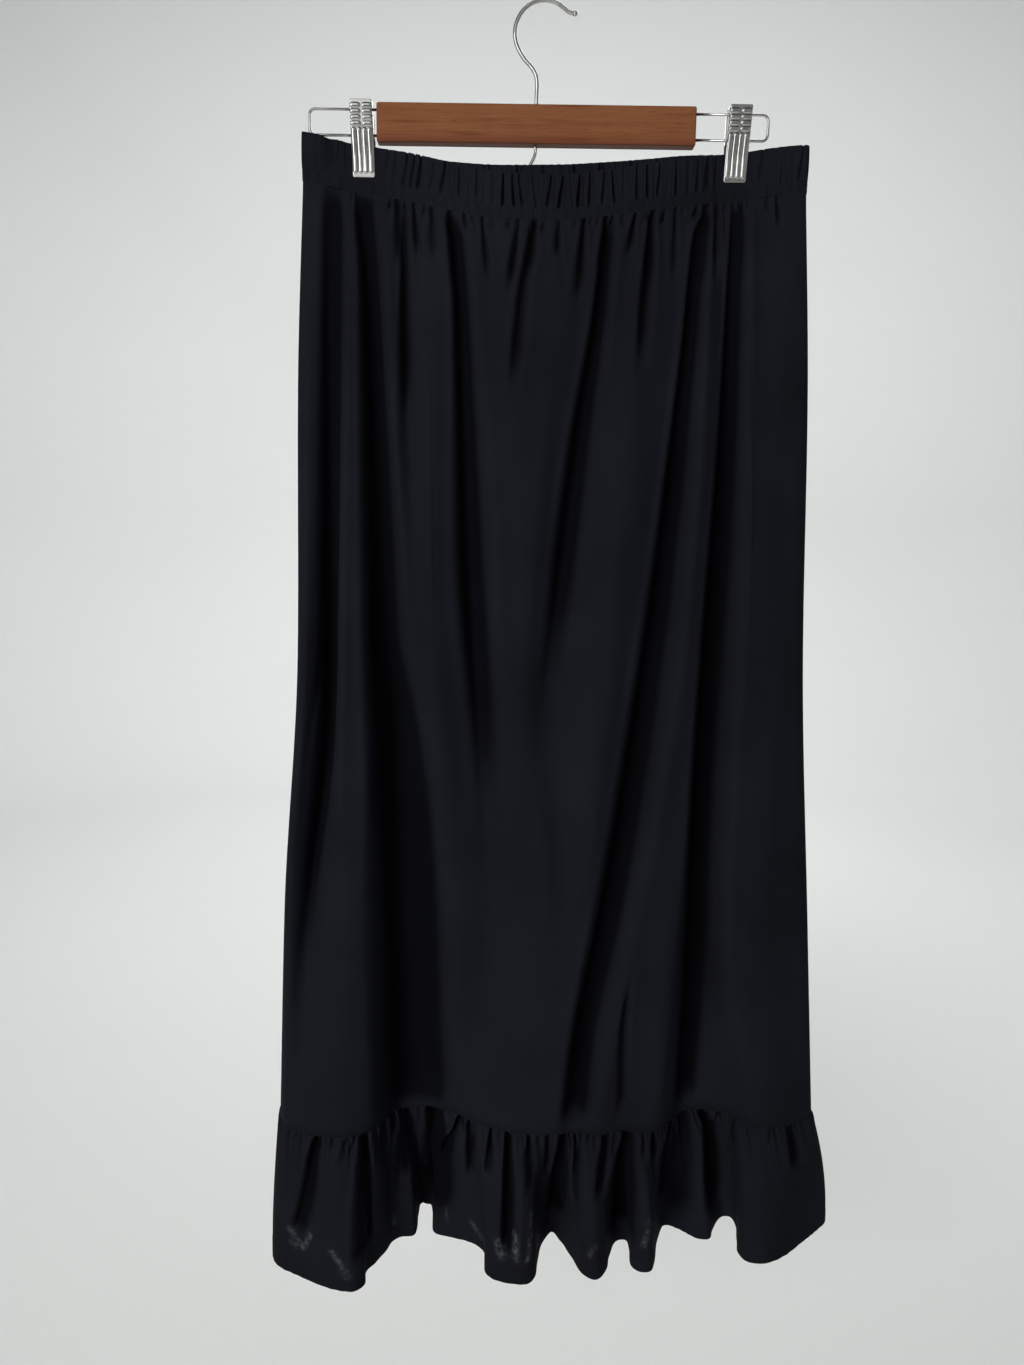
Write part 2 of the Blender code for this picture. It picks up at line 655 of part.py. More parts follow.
def stamped_height(across, down):
    """Raised pattern of a clip plate: pillows on its upper half, ribs on its jaws."""
    if down < CLIP_PILLOW_ZONE:
        pillow = abs(math.sin(2 * math.pi * across))
        return CLIP_RIDGE * pillow * abs(math.sin(CLIP_PILLOW_ROWS * math.pi * down / CLIP_PILLOW_ZONE))
    fade = min((1 - down) / CLIP_RIB_END, (down - CLIP_PILLOW_ZONE) / CLIP_RIB_START, 1.0)
    return CLIP_RIDGE * abs(math.sin(CLIP_RIBS * math.pi * across)) * max(fade, 0.0)


def clip_plate(name, clip, side, finish, parent):
    """Stamped plate in front of (side -1) or behind (side 1) the wires and the cloth."""
    pillow_rows = 2 * CLIP_PILLOW_ROWS
    downs = [CLIP_PILLOW_ZONE * i / pillow_rows for i in range(pillow_rows + 1)]
    downs.extend(CLIP_ROW_SHARES)
    columns = 2 * CLIP_RIBS
    rows = []
    for down in downs:
        gap = steady_curve(down * CLIP_LENGTH / MM, [r.down for r in CLIP_PROFILE],
                           [r.gap for r in CLIP_PROFILE]) * MM
        face = gap + CLIP_SHEET / 2
        flange = CLIP_FLANGE_LIP
        if down * CLIP_LENGTH / MM < CLIP_FLANGE_END:
            flange = gap - WIRE_RADIUS - CLEARANCE + CLIP_SHEET / 2
        centre = (clip.top_x + (clip.jaw_x - clip.top_x) * down) * MM
        z = CLIP_TOP_Z - CLIP_LENGTH * down
        half = (CLIP_WIDTH - CLIP_SHEET) / 2
        line = [(centre - half, side * (face - flange), z)]
        for i in range(columns + 1):
            across = i / columns
            raised = stamped_height(across, down)
            line.append((centre + half * (2 * across - 1), side * (face + raised), z))
        line.append((centre + half, side * (face - flange), z))
        rows.append(line)
    return cloth_sheet(name, rows, CLIP_SHEET, finish, parent)


def clip_spring(name, clip, finish, parent):
    """Coil spring between the two plates, level with the gap between the wires."""
    z = (WIRE_HIGH_Z + WIRE_LOW_Z) / 2
    down = (CLIP_TOP_Z - z) / CLIP_LENGTH
    centre = (clip.top_x + (clip.jaw_x - clip.top_x) * down) * MM
    steps = SPRING_STEPS_A_TURN * SPRING_TURNS
    points = []
    for step in range(steps + 1):
        angle = 2 * math.pi * step / SPRING_STEPS_A_TURN
        x = centre + SPRING_PITCH * SPRING_TURNS * (step / steps - 0.5)
        points.append((x, SPRING_RADIUS * math.cos(angle), z + SPRING_RADIUS * math.sin(angle)))
    return wire(name, points, SPRING_WIRE, finish, parent, resolution=1)


def build():
    """Builds the skirt and its hanger."""
    jersey = material("black_jersey", (0.012, 0.012, 0.016), 0.62)
    wood = material("stained_wood", (0.20, 0.085, 0.045), 0.42)
    chrome = material("polished_chrome", (0.72, 0.72, 0.74), 0.14, 1.0)
    steel = material("spring_steel", (0.45, 0.45, 0.47), 0.30, 1.0)
    hanger = place(bpy.data.objects.new("hanger", None), None)
    skirt = place(bpy.data.objects.new("skirt", None), hanger)

    hanger_bar(wood, hanger)
    hanger_hook(chrome, hanger)
    lower_hook(chrome, hanger)
    wire_frame("wire_left", -1, chrome, hanger)
    wire_frame("wire_right", 1, chrome, hanger)
    for clip in CLIPS:
        clip_plate(clip.name + "_front", clip, -1, chrome, hanger)
        clip_plate(clip.name + "_back", clip, 1, chrome, hanger)
        clip_spring(clip.name + "_spring", clip, steel, hanger)

    waistband("waistband_front", True, BAND_GATHERS_FRONT, jersey, skirt)
    waistband("waistband_back", False, BAND_GATHERS_BACK, jersey, skirt)
    panel("panel_front", FRONT_FOLDS, True, jersey, skirt)
    panel("panel_back", BACK_FOLDS, False, jersey, skirt)
    ruffle("ruffle_front", FRONT_FOLDS, True, FRONT_HEM, RUFFLE_GATHERS_FRONT, jersey, skirt)
    ruffle("ruffle_back", BACK_FOLDS, False, BACK_HEM, RUFFLE_GATHERS_BACK, jersey, skirt)


for old in list(bpy.data.objects):
    bpy.data.objects.remove(old)
PART = bpy.data.collections.new("ruffled_skirt_on_hanger")
TOOLS = bpy.data.collections.new("cutters")
bpy.context.scene.collection.children.link(PART)
bpy.context.scene.collection.children.link(TOOLS)
build()
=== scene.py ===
"""Dressed model of a long jersey skirt, with a gathered waistband and a hem ruffle, on its clip hanger.

The origin is the inner top of the hanger's hook. +Z is up, -Y faces the viewer and +X is to the viewer's
right. Lengths of the hanger and the cloth are in metres where MM stands beside them, and in millimetres
elsewhere. The studio's lengths are in metres.
"""

import json
import logging
import math
from dataclasses import dataclass, field
from enum import Enum
from typing import Any, ClassVar, Generic, Iterator, Sequence, TypeVar

import bmesh
import bpy
import numpy as np
from mathutils import Matrix, Vector
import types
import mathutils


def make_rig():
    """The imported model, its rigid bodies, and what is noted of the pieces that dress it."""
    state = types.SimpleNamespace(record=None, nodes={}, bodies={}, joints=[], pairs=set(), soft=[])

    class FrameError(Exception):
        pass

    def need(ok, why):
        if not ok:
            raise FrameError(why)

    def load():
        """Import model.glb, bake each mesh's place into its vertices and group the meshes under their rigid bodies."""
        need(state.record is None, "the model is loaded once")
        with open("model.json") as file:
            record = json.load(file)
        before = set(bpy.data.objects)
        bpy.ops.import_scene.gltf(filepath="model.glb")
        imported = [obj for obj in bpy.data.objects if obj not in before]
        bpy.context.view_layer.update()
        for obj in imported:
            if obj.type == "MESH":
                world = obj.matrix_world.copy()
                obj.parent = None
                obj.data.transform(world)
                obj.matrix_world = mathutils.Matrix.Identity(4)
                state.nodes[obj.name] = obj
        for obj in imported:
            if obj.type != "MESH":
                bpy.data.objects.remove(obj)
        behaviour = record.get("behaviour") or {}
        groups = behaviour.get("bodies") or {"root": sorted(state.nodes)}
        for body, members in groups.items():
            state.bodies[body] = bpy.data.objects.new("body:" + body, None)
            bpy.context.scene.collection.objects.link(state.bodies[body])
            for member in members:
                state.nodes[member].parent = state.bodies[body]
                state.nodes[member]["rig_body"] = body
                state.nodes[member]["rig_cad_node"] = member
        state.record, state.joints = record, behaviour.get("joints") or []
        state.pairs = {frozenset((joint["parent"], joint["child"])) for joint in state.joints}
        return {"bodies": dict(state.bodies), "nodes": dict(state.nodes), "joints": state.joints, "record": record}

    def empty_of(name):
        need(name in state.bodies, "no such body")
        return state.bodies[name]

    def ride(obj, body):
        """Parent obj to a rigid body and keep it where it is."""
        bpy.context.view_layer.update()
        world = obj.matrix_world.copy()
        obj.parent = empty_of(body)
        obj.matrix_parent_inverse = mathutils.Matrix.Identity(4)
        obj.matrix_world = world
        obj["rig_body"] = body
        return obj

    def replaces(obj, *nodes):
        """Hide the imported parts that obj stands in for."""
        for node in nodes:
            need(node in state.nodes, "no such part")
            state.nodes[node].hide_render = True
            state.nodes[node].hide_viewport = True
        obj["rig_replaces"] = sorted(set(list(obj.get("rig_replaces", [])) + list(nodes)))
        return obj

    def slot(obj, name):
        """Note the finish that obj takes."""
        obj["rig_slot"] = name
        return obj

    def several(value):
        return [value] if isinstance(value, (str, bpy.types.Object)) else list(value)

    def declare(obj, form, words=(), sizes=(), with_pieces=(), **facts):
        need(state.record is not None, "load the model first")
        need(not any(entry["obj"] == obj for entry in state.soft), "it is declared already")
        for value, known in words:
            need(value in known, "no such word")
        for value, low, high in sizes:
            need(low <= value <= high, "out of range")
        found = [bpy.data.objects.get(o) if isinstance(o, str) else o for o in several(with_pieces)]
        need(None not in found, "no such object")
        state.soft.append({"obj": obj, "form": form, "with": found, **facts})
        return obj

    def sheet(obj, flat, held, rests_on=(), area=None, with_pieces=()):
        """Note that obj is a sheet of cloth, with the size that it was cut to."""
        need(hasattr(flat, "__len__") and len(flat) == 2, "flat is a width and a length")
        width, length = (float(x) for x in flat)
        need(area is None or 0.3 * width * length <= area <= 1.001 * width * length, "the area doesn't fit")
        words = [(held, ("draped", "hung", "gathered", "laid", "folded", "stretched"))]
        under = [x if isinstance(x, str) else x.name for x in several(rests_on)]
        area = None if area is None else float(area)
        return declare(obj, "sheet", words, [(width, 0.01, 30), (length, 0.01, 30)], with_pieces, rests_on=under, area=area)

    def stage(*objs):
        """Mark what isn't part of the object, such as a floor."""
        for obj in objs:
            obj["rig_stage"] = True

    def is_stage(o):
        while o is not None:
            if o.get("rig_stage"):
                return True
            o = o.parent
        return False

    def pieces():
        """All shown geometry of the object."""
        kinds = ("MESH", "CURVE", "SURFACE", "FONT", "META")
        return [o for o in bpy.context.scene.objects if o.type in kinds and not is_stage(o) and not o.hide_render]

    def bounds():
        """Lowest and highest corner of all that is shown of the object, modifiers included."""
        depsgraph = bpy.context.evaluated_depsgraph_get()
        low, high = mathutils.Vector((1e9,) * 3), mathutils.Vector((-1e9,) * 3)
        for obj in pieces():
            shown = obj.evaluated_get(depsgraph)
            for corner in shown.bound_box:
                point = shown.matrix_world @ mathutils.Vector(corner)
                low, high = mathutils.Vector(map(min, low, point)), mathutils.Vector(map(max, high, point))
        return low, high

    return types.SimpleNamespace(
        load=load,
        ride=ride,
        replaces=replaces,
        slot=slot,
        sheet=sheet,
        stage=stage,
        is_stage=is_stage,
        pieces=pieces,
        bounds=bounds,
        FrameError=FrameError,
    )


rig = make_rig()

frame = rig.load()
CAD_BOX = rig.bounds()

LOG = logging.getLogger("skirt")
MM = 0.001
SIZE_FILE = "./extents.json"
SPAN_STEPS = 12

Pair = tuple[float, float]
Colour = tuple[float, float, float]
Numbers = float | np.ndarray
Value = float | bpy.types.NodeSocket
Item = TypeVar("Item")


class Face(Enum):
    """Front or back half of a piece, with the way it faces along Y."""

    FRONT = -1.0
    BACK = 1.0

    @property
    def other(self) -> "Face":
        """The opposite half."""
        return Face(-self.value)


class Flank(Enum):
    """Left or right half of the hanger, with the way it lies along X."""

    LEFT = -1.0
    RIGHT = 1.0


@dataclass(frozen=True)
class Halves(Generic[Item]):
    """One value for the front half and one for the back half."""

    front: Item
    back: Item

    def of(self, face: Face) -> Item:
        """The value of one half."""
        return self.front if face is Face.FRONT else self.back


# Curves


def eased(share: Numbers) -> Numbers:
    """Turns a share into a soft step from 0 to 1.

    Args:
        share: Numbers, of which those below 0 give 0 and those above 1 give 1.

    Returns:
        The eased numbers.
    """
    held = np.clip(share, 0.0, 1.0)
    return held * held * (3 - 2 * held)


def bell(share: Numbers) -> Numbers:
    """Turns a distance into a round bump that is 1 at zero."""
    return np.exp(-share ** 2)


def limited(wanted: np.ndarray, room: np.ndarray) -> np.ndarray:
    """Holds depths softly within the room that there is, and leaves ridges as they are."""
    return np.where(wanted > 0, room * np.tanh(wanted / room), wanted)


def steady_curve(at: Numbers, xs: Sequence[float], ys: Sequence[float]) -> Numbers:
    """Follows a smooth curve through a table that never overshoots its rows.

    Args:
        at: Places along the table.
        xs: The table's places, rising.
        ys: The table's values.

    Returns:
        The value at each place.
    """
    places, values = np.asarray(xs, float), np.asarray(ys, float)
    steps = np.diff(places)
    slopes = np.diff(values) / steps
    before, after = slopes[:-1], slopes[1:]
    rising = before * after > 0
    inner = np.where(rising, 2 * before * after / np.where(rising, before + after, 1.0), 0.0)
    tangents = np.concatenate(([slopes[0]], inner, [slopes[-1]]))
    row = np.clip(np.searchsorted(places, at, side="left") - 1, 0, len(steps) - 1)
    h = steps[row]
    u = np.clip((at - places[row]) / h, 0.0, 1.0)
    start = (1 + 2 * u) * (1 - u) ** 2 * values[row] + u * (1 - u) ** 2 * h * tangents[row]
    return start + u * u * (3 - 2 * u) * values[row + 1] - u * u * (1 - u) * h * tangents[row + 1]


def flowing_curve(points: np.ndarray, steps: int | Sequence[int] = SPAN_STEPS,
                  turned: bool = True) -> np.ndarray:
    """Draws a centripetal spline through flat points.

    Args:
        points: The points, one row each.
        steps: How many steps each span gets, or one number for all.
        turned: Whether both ends leave straight along their second axis.

    Returns:
        The points of the spline, its ends included.
    """
    mirror = np.array([1.0, -1.0]) if turned else np.array([-1.0, -1.0])
    first = points[0] + (points[1] - points[0]) * mirror
    last = points[-1] + (points[-2] - points[-1]) * mirror
    padded = np.vstack([first, points, last])
    spans = []
    for i, count in enumerate(np.broadcast_to(steps, len(points) - 1)):
        a, b, c, d = padded[i:i + 4]
        tb = math.sqrt(np.linalg.norm(b - a))
        tc = tb + math.sqrt(np.linalg.norm(c - b))
        td = tc + math.sqrt(np.linalg.norm(d - c))
        t = (tb + (tc - tb) * np.arange(count) / count)[:, None]
        ab = a + (b - a) * t / tb
        bc = b + (c - b) * (t - tb) / (tc - tb)
        cd = c + (d - c) * (t - tc) / (td - tc)
        abc = ab + (bc - ab) * t / tc
        bcd = bc + (cd - bc) * (t - tb) / (td - tb)
        spans.append(abc + (bcd - abc) * (t - tb) / (tc - tb))
    return np.vstack([*spans, points[-1:]])


def lengths_along(line: np.ndarray) -> np.ndarray:
    """Measures a line up to each of its points."""
    return np.concatenate(([0.0], np.cumsum(np.linalg.norm(np.diff(line, axis=0), axis=1))))


def spread(line: np.ndarray, fractions: np.ndarray) -> np.ndarray:
    """Finds points on a line.

    Args:
        line: Points along it.
        fractions: Shares of its length.

    Returns:
        One point for each share.
    """
    along = lengths_along(line)
    return np.column_stack([np.interp(fractions * along[-1], along, axis) for axis in line.T])


def left_normals(line: np.ndarray) -> np.ndarray:
    """Finds the way to the left of a flat line.

    Args:
        line: Points along it.

    Returns:
        A unit normal for each point.
    """
    along = np.gradient(line, axis=0)
    normals = np.column_stack([-along[:, 1], along[:, 0]])
    return normals / np.linalg.norm(normals, axis=1)[:, None]


@dataclass(frozen=True)
class Ripple:
    """Uneven small waves along a seam.

    Attributes:
        height: Their usual height.
        pitch: Usual distance between two of them.
        seed: Shifts the pattern, so that no two seams are alike.
    """

    height: float
    pitch: float
    seed: float

    def swing(self, along: np.ndarray) -> np.ndarray:
        """The waves' form, between about -1 and 1; their pitch drifts and their height swells slowly.

        Args:
            along: Places along the seam, in metres.

        Returns:
            The form at each place.
        """
        turn = 2 * math.pi * along / (self.pitch * MM)
        drift = 1.3 * np.sin(turn * 0.137 + self.seed) + 0.9 * np.sin(turn * 0.291 + 2 * self.seed)
        swell = 0.65 + 0.35 * np.sin(turn * 0.211 + 3 * self.seed)
        return swell * np.sin(turn + drift)

    def rise(self, along: np.ndarray) -> np.ndarray:
        """Height of the waves at each place along the seam, in metres."""
        return self.height * MM * self.swing(along)


@dataclass(frozen=True)
class SlowWave:
    """Slow unevenness of hanging cloth: its pitches across and down, its depth and its start."""

    across: float
    down: float
    depth: float
    start: float

    def sink(self, x: np.ndarray, z: np.ndarray) -> np.ndarray:
        """Depth of the wave at each place, all in metres."""
        turn = 2 * math.pi * (x / (self.across * MM) + z / (self.down * MM))
        return self.depth * MM * np.sin(turn + self.start)


@dataclass(frozen=True)
class Crease:
    """Soft trough down a sheet of cloth, or a ridge where its depth is negative.

    Attributes:
        line: Its middle from its top to its end, each point as x and z.
        width: Half its width at its widest.
        depth: How far it sinks.
        lead: Length above its first point where it has already begun.
        opening: Length over which it opens.
        closing: Share of its length over which it fades.
        lean: How much steeper its left wall is than its right one.
        steepness: 2 for a soft trough, more for one with steeper walls.
        mouth: Share of its width that it has at its top.
    """

    line: tuple[Pair, ...]
    width: float
    depth: float
    lead: float = 0.0
    opening: float = 4.0
    closing: float = 0.5
    lean: float = 0.0
    steepness: float = 2.0
    mouth: float = 0.5

    # It widens over this share of its length. Its banks are shares of its depth and its half width.
    widening: ClassVar[float] = 0.6
    bank_height: ClassVar[float] = 0.16
    bank_place: ClassVar[float] = 2.1
    bank_width: ClassVar[float] = 0.8

    def sink(self, x: np.ndarray, z: np.ndarray) -> np.ndarray:
        """Depth of the crease, with the low banks that the cloth throws up beside it.

        Args:
            x: Places across, in metres.
            z: Heights, in metres.

        Returns:
            Depths in metres.
        """
        xs, zs = np.array(self.line, float).T * MM
        down = zs[0] - z
        length = zs[0] - zs[-1]
        share = eased((down + self.lead * MM) / (self.opening * MM))
        share = share * eased((length - down) / (self.closing * length))
        wide = self.mouth + (1 - self.mouth) * eased(down / (self.widening * length))
        across = (x - steady_curve(-z, -zs, xs)) / (self.width * MM * wide)
        across = across / (1 + self.lean * np.tanh(across))
        banks = self.bank_height * bell((np.abs(across) - self.bank_place) / self.bank_width)
        return self.depth * MM * share * (np.exp(-np.abs(across) ** self.steepness) - banks)


def total_sink(creases: Sequence[Crease], x: np.ndarray, z: np.ndarray) -> np.ndarray:
    """Depth of all creases together, in metres."""
    return sum((crease.sink(x, z) for crease in creases), np.zeros_like(x))


@dataclass(frozen=True)
class LongFold(Crease):
    """Deep fold down the body, with a steep left wall."""

    opening: float = 14.0
    closing: float = 0.35
    lean: float = 0.3
    steepness: float = 2.8


@dataclass(frozen=True)
class RuffleFold(Crease):
    """Deep fold of the ruffle, which opens at its seam."""

    opening: float = 7.0
    closing: float = 0.12
    lean: float = 0.25
    steepness: float = 2.6


@dataclass(frozen=True)
class Gather:
    """Short crease that springs from a seam.

    Attributes:
        x: Where its near end is.
        reach: How far it runs from there.
        slant: How far its far end lies to the right of its near end.
        width: Half its width.
        depth: How far it sinks.
        start: Distance of its near end from the seam.
    """

    x: float
    reach: float
    slant: float
    width: float
    depth: float
    start: float = 0.0

    def rising(self, seam: float, **shape: float) -> Crease:
        """Draws it above a seam.

        Args:
            seam: Height of the seam.
            **shape: Other settings of the crease.

        Returns:
            The crease, from its far end down to its near one.
        """
        low = seam + self.start
        far_end = (self.x + self.slant, low + self.reach)
        return Crease((far_end, (self.x, low)), self.width, self.depth, **shape)

    def hanging(self, seam: float, **shape: float) -> Crease:
        """Draws it below a seam.

        Args:
            seam: Height of the seam.
            **shape: Other settings of the crease.

        Returns:
            The crease, from its near end down to its far one.
        """
        high = seam - self.start
        far_end = (self.x + self.slant, high - self.reach)
        return Crease(((self.x, high), far_end), self.width, self.depth, **shape)


@dataclass(frozen=True)
class Swing:
    """Number that swings about its mean from step to step."""

    mean: float
    reach: float = 0.0
    rate: float = 0.0
    start: float = 0.0

    def at(self, step: int) -> float:
        """The number at one step."""
        return self.mean + self.reach * math.sin(self.rate * step + self.start)


@dataclass(frozen=True)
class UnseenGathers:
    """Gathers along a back seam, which vary by slow waves because the photograph doesn't show them.

    Attributes:
        first: Where they begin.
        last: Where they end.
        pitch: Step from each to the next.
        reach: How far each runs.
        slant: How far its far end lies to the right.
        width: Half its width.
        depth: How far it sinks.
        start: Distance of its near end from the seam.
    """

    first: float
    last: float
    pitch: Swing
    reach: Swing
    slant: Swing
    width: Swing
    depth: Swing
    start: float = 0.0

    def __iter__(self) -> Iterator[Gather]:
        """Walks along the seam.

        Yields:
            Each gather.
        """
        x, step = self.first, 0
        while x < self.last:
            shape = (size.at(step) for size in (self.reach, self.slant, self.width, self.depth))
            yield Gather(x, *shape, self.start)
            x += self.pitch.at(step)
            step += 1


@dataclass(frozen=True)
class Stroke:
    """Painted light on the cloth: a pale streak where light shows through the thin jersey, from one end to the other,
    each as x and z.
    """

    start: Pair
    end: Pair
    width: float
    strength: float

    def glow(self, x: np.ndarray, z: np.ndarray) -> np.ndarray:
        """Strength of the mark, from 0 to 1.

        Args:
            x: Places across, in metres.
            z: Heights, in metres.

        Returns:
            The strength at each place.
        """
        start = np.array(self.start) * MM
        way = np.array(self.end) * MM - start
        share = np.clip(((x - start[0]) * way[0] + (z - start[1]) * way[1]) / (way @ way), 0.0, 1.0)
        away = np.hypot(x - start[0] - share * way[0], z - start[1] - share * way[1])
        return self.strength * bell(away / (self.width * MM))


# Finishes


def dimmed(colour: Colour, share: float) -> Colour:
    """A darker shade of a colour."""
    return tuple(share * channel for channel in colour)


class Board:
    """Node board of one material, with short ways to lay and join its nodes."""

    def __init__(self, name: str) -> None:
        """Starts the material.

        Args:
            name: Its name.
        """
        self.material = bpy.data.materials.new(name)
        self.material.use_nodes = True
        self.tree = self.material.node_tree
        self.shader = self.tree.nodes["Principled BSDF"]
        self.place = self.node("ShaderNodeTexCoord")

    def node(self, kind: str, settings: dict[str, Any] | None = None,
             inputs: dict[str | int, Any] | None = None) -> bpy.types.Node:
        """Lays one node.

        Args:
            kind: Its type.
            settings: Its own settings by name.
            inputs: Values or sockets for its inputs.

        Returns:
            The node.
        """
        made = self.tree.nodes.new(kind)
        for name, value in (settings or {}).items():
            setattr(made, name, value)
        for name, value in (inputs or {}).items():
            if isinstance(value, bpy.types.NodeSocket):
                self.tree.links.new(value, made.inputs[name])
            else:
                made.inputs[name].default_value = value
        return made

    def join(self, source: bpy.types.NodeSocket, name: str) -> None:
        """Joins a socket to one of the shader's inputs."""
        self.tree.links.new(source, self.shader.inputs[name])

    def fix(self, **values: Any) -> None:
        """Sets constant values on the shader's own sockets; underscores stand for spaces."""
        for name, value in values.items():
            self.shader.inputs[name.replace("_", " ")].default_value = value

    def figure(self, operation: str, *values: Value) -> bpy.types.NodeSocket:
        """Works out a number from others.

        Args:
            operation: The Math node's operation.
            *values: Its numbers or sockets.

        Returns:
            The socket of the result.
        """
        return self.node("ShaderNodeMath", {"operation": operation}, dict(enumerate(values))).outputs[0]

    def weighed(self, first: Value, share: float, second: Value) -> bpy.types.NodeSocket:
        """Mixes two numbers, the first by its share and the second by the rest."""
        return self.figure("MULTIPLY_ADD", first, share, self.figure("MULTIPLY", second, 1 - share))

    def noise(self, scale: float, detail: float = 2.0, roughness: float = 0.5, distortion: float = 0.0,
              stretch: tuple[float, float, float] | None = None) -> bpy.types.NodeSocket:
        """Lays a cloudy pattern on the piece's own coordinates.

        Args:
            scale: How fine it is.
            detail: How many finer layers it has.
            roughness: How strong these are.
            distortion: How much it swirls.
            stretch: How much finer it is along each axis, or None.

        Returns:
            The pattern's socket.
        """
        place = self.place.outputs["Object"]
        if stretch:
            place = self.node("ShaderNodeMapping", inputs={0: place, "Scale": stretch}).outputs[0]
        inputs = {"Vector": place, "Scale": scale, "Detail": detail}
        inputs |= {"Roughness": roughness, "Distortion": distortion}
        return self.node("ShaderNodeTexNoise", inputs=inputs).outputs[0]

    def stepped(self, value: bpy.types.NodeSocket, start: float, end: float, least: float,
                most: float) -> bpy.types.NodeSocket:
        """Leads a number from its least to its most while another one passes from start to end.

        Args:
            value: The other one.
            start: Where it starts.
            end: Where it ends.
            least: The number up to the start.
            most: The number from the end on.

        Returns:
            The number's socket.
        """
        inputs = {0: value, 1: start, 2: end, 3: least, 4: most}
        return self.node("ShaderNodeMapRange", inputs=inputs).outputs[0]

    def mark(self, name: str) -> bpy.types.NodeSocket:
        """Reads what the mesh says at each of its points."""
        return self.node("ShaderNodeAttribute", {"attribute_name": name}).outputs["Fac"]

    def covered(self, under: bpy.types.NodeSocket, over: Colour, share: Value) -> bpy.types.NodeSocket:
        """Lays a plain colour over another by a share."""
        inputs = {0: share, 6: under, 7: (*over, 1.0)}
        return self.node("ShaderNodeMix", {"data_type": "RGBA"}, inputs).outputs[2]

    def relief(self, height: bpy.types.NodeSocket, strength: float, depth: float) -> None:
        """Gives the surface a fine relief.

        Args:
            height: Its form.
            strength: How much of it shows.
            depth: How deep it is.
        """
        bump = self.node("ShaderNodeBump", inputs={"Height": height, "Strength": strength, "Distance": depth})
        self.join(bump.outputs[0], "Normal")

    def shades(self, share: bpy.types.NodeSocket,
               stops: Sequence[tuple[float, Colour]]) -> bpy.types.NodeSocket:
        """Turns a share into a colour.

        Args:
            share: The share.
            stops: Places on the ramp with their colours.

        Returns:
            The colour's socket.
        """
        ramp = self.node("ShaderNodeValToRGB", inputs={0: share})
        while len(ramp.color_ramp.elements) < len(stops):
            ramp.color_ramp.elements.new(0.5)
        for element, (place, colour) in zip(ramp.color_ramp.elements, stops):
            element.position = place
            element.color = (*colour, 1.0)
        return ramp.outputs[0]


@dataclass(frozen=True)
class JerseyFinish:
    """Black fine-knit jersey: rows of tiny loops, a soft sheen and a little unevenness, with painted shade in its
    folds and painted light where light shows through it.
    """

    name: str = "black_jersey"
    deep: Colour = (0.0062, 0.0066, 0.0090)
    pale: Colour = (0.0086, 0.0093, 0.0129)
    # Colour of the painted light where light shows through the thin jersey.
    sheer: Colour = (0.075, 0.080, 0.084)
    sheen: Colour = (0.62, 0.68, 0.85)
    wale: float = 0.9 * MM
    course: float = 0.7 * MM
    slant: float = 1.4
    leg_share: float = 0.6
    cloud_share: float = 0.75
    fuzz_height: float = 0.8
    depth: float = 0.05 * MM
    # shade and darkest set the painted shade in folds: how strong it is, and how dark it gets against the deep tone.
    shade: float = 0.70
    darkest: float = 0.1
    roughness: float = 0.64

    def make(self) -> bpy.types.Material:
        """Makes the material."""
        board = Board(self.name)
        cut = board.node("ShaderNodeSeparateXYZ", inputs={0: board.place.outputs["UV"]})
        columns = board.figure("DIVIDE", cut.outputs[0], self.wale)
        lean = board.figure("MULTIPLY", board.figure("PINGPONG", columns, 0.5), self.slant)
        rows = board.figure("ADD", board.figure("DIVIDE", cut.outputs[1], self.course), lean)
        leg = board.figure("SINE", board.figure("MULTIPLY", columns, 2 * math.pi))
        loop = board.figure("SINE", board.figure("MULTIPLY", rows, 2 * math.pi))
        knit = board.weighed(leg, self.leg_share, loop)
        cloud = board.noise(9.0, detail=3.0, roughness=0.55)
        fuzz = board.noise(1400.0)
        tone = board.weighed(cloud, self.cloud_share, fuzz)
        colour = board.shades(tone, ((0.36, self.deep), (0.64, self.pale)))
        patch = board.stepped(board.noise(260.0, detail=3.0), 0.42, 0.62, 0.15, 0.9)
        # Painted light: pale patches where light shows through the thin jersey, taken from the sheer attribute and
        # broken up by noise.
        with_painted_light = board.covered(colour, self.sheer, board.figure("MULTIPLY", board.mark("sheer"), patch))
        # Painted shade: the base colour darkens towards a dimmed deep tone where the hollow attribute says a fold is
        # deep.
        shade = board.figure("MULTIPLY", board.mark("hollow"), self.shade)
        board.join(board.covered(with_painted_light, dimmed(self.deep, self.darkest), shade), "Base Color")
        board.join(board.figure("MULTIPLY_ADD", cloud, 0.12, self.roughness), "Roughness")
        board.relief(board.figure("MULTIPLY_ADD", fuzz, self.fuzz_height, knit), 0.5, self.depth)
        board.fix(Specular_IOR_Level=0.008, Sheen_Weight=0.006, Sheen_Roughness=0.5,
                  Sheen_Tint=(*self.sheen, 1.0))
        return board.material


@dataclass(frozen=True)
class ThreadFinish:
    """Black polyester thread, a little glossier than the cloth, twisted along its length."""

    name: str = "black_thread"
    colour: Colour = (0.0075, 0.0078, 0.0100)
    shadow: float = 0.7
    twists: float = 900.0
    depth: float = 0.05 * MM

    def make(self) -> bpy.types.Material:
        """Makes the material."""
        board = Board(self.name)
        inputs = {"Vector": board.place.outputs["Object"], "Scale": self.twists, "Distortion": 0.4}
        twist = board.node("ShaderNodeTexWave", {"bands_direction": "DIAGONAL"}, inputs).outputs["Fac"]
        stops = ((0.2, dimmed(self.colour, self.shadow)), (0.8, self.colour))
        board.join(board.shades(twist, stops), "Base Color")
        board.relief(twist, 0.5, self.depth)
        board.fix(Roughness=0.55, Specular_IOR_Level=0.10)
        return board.material


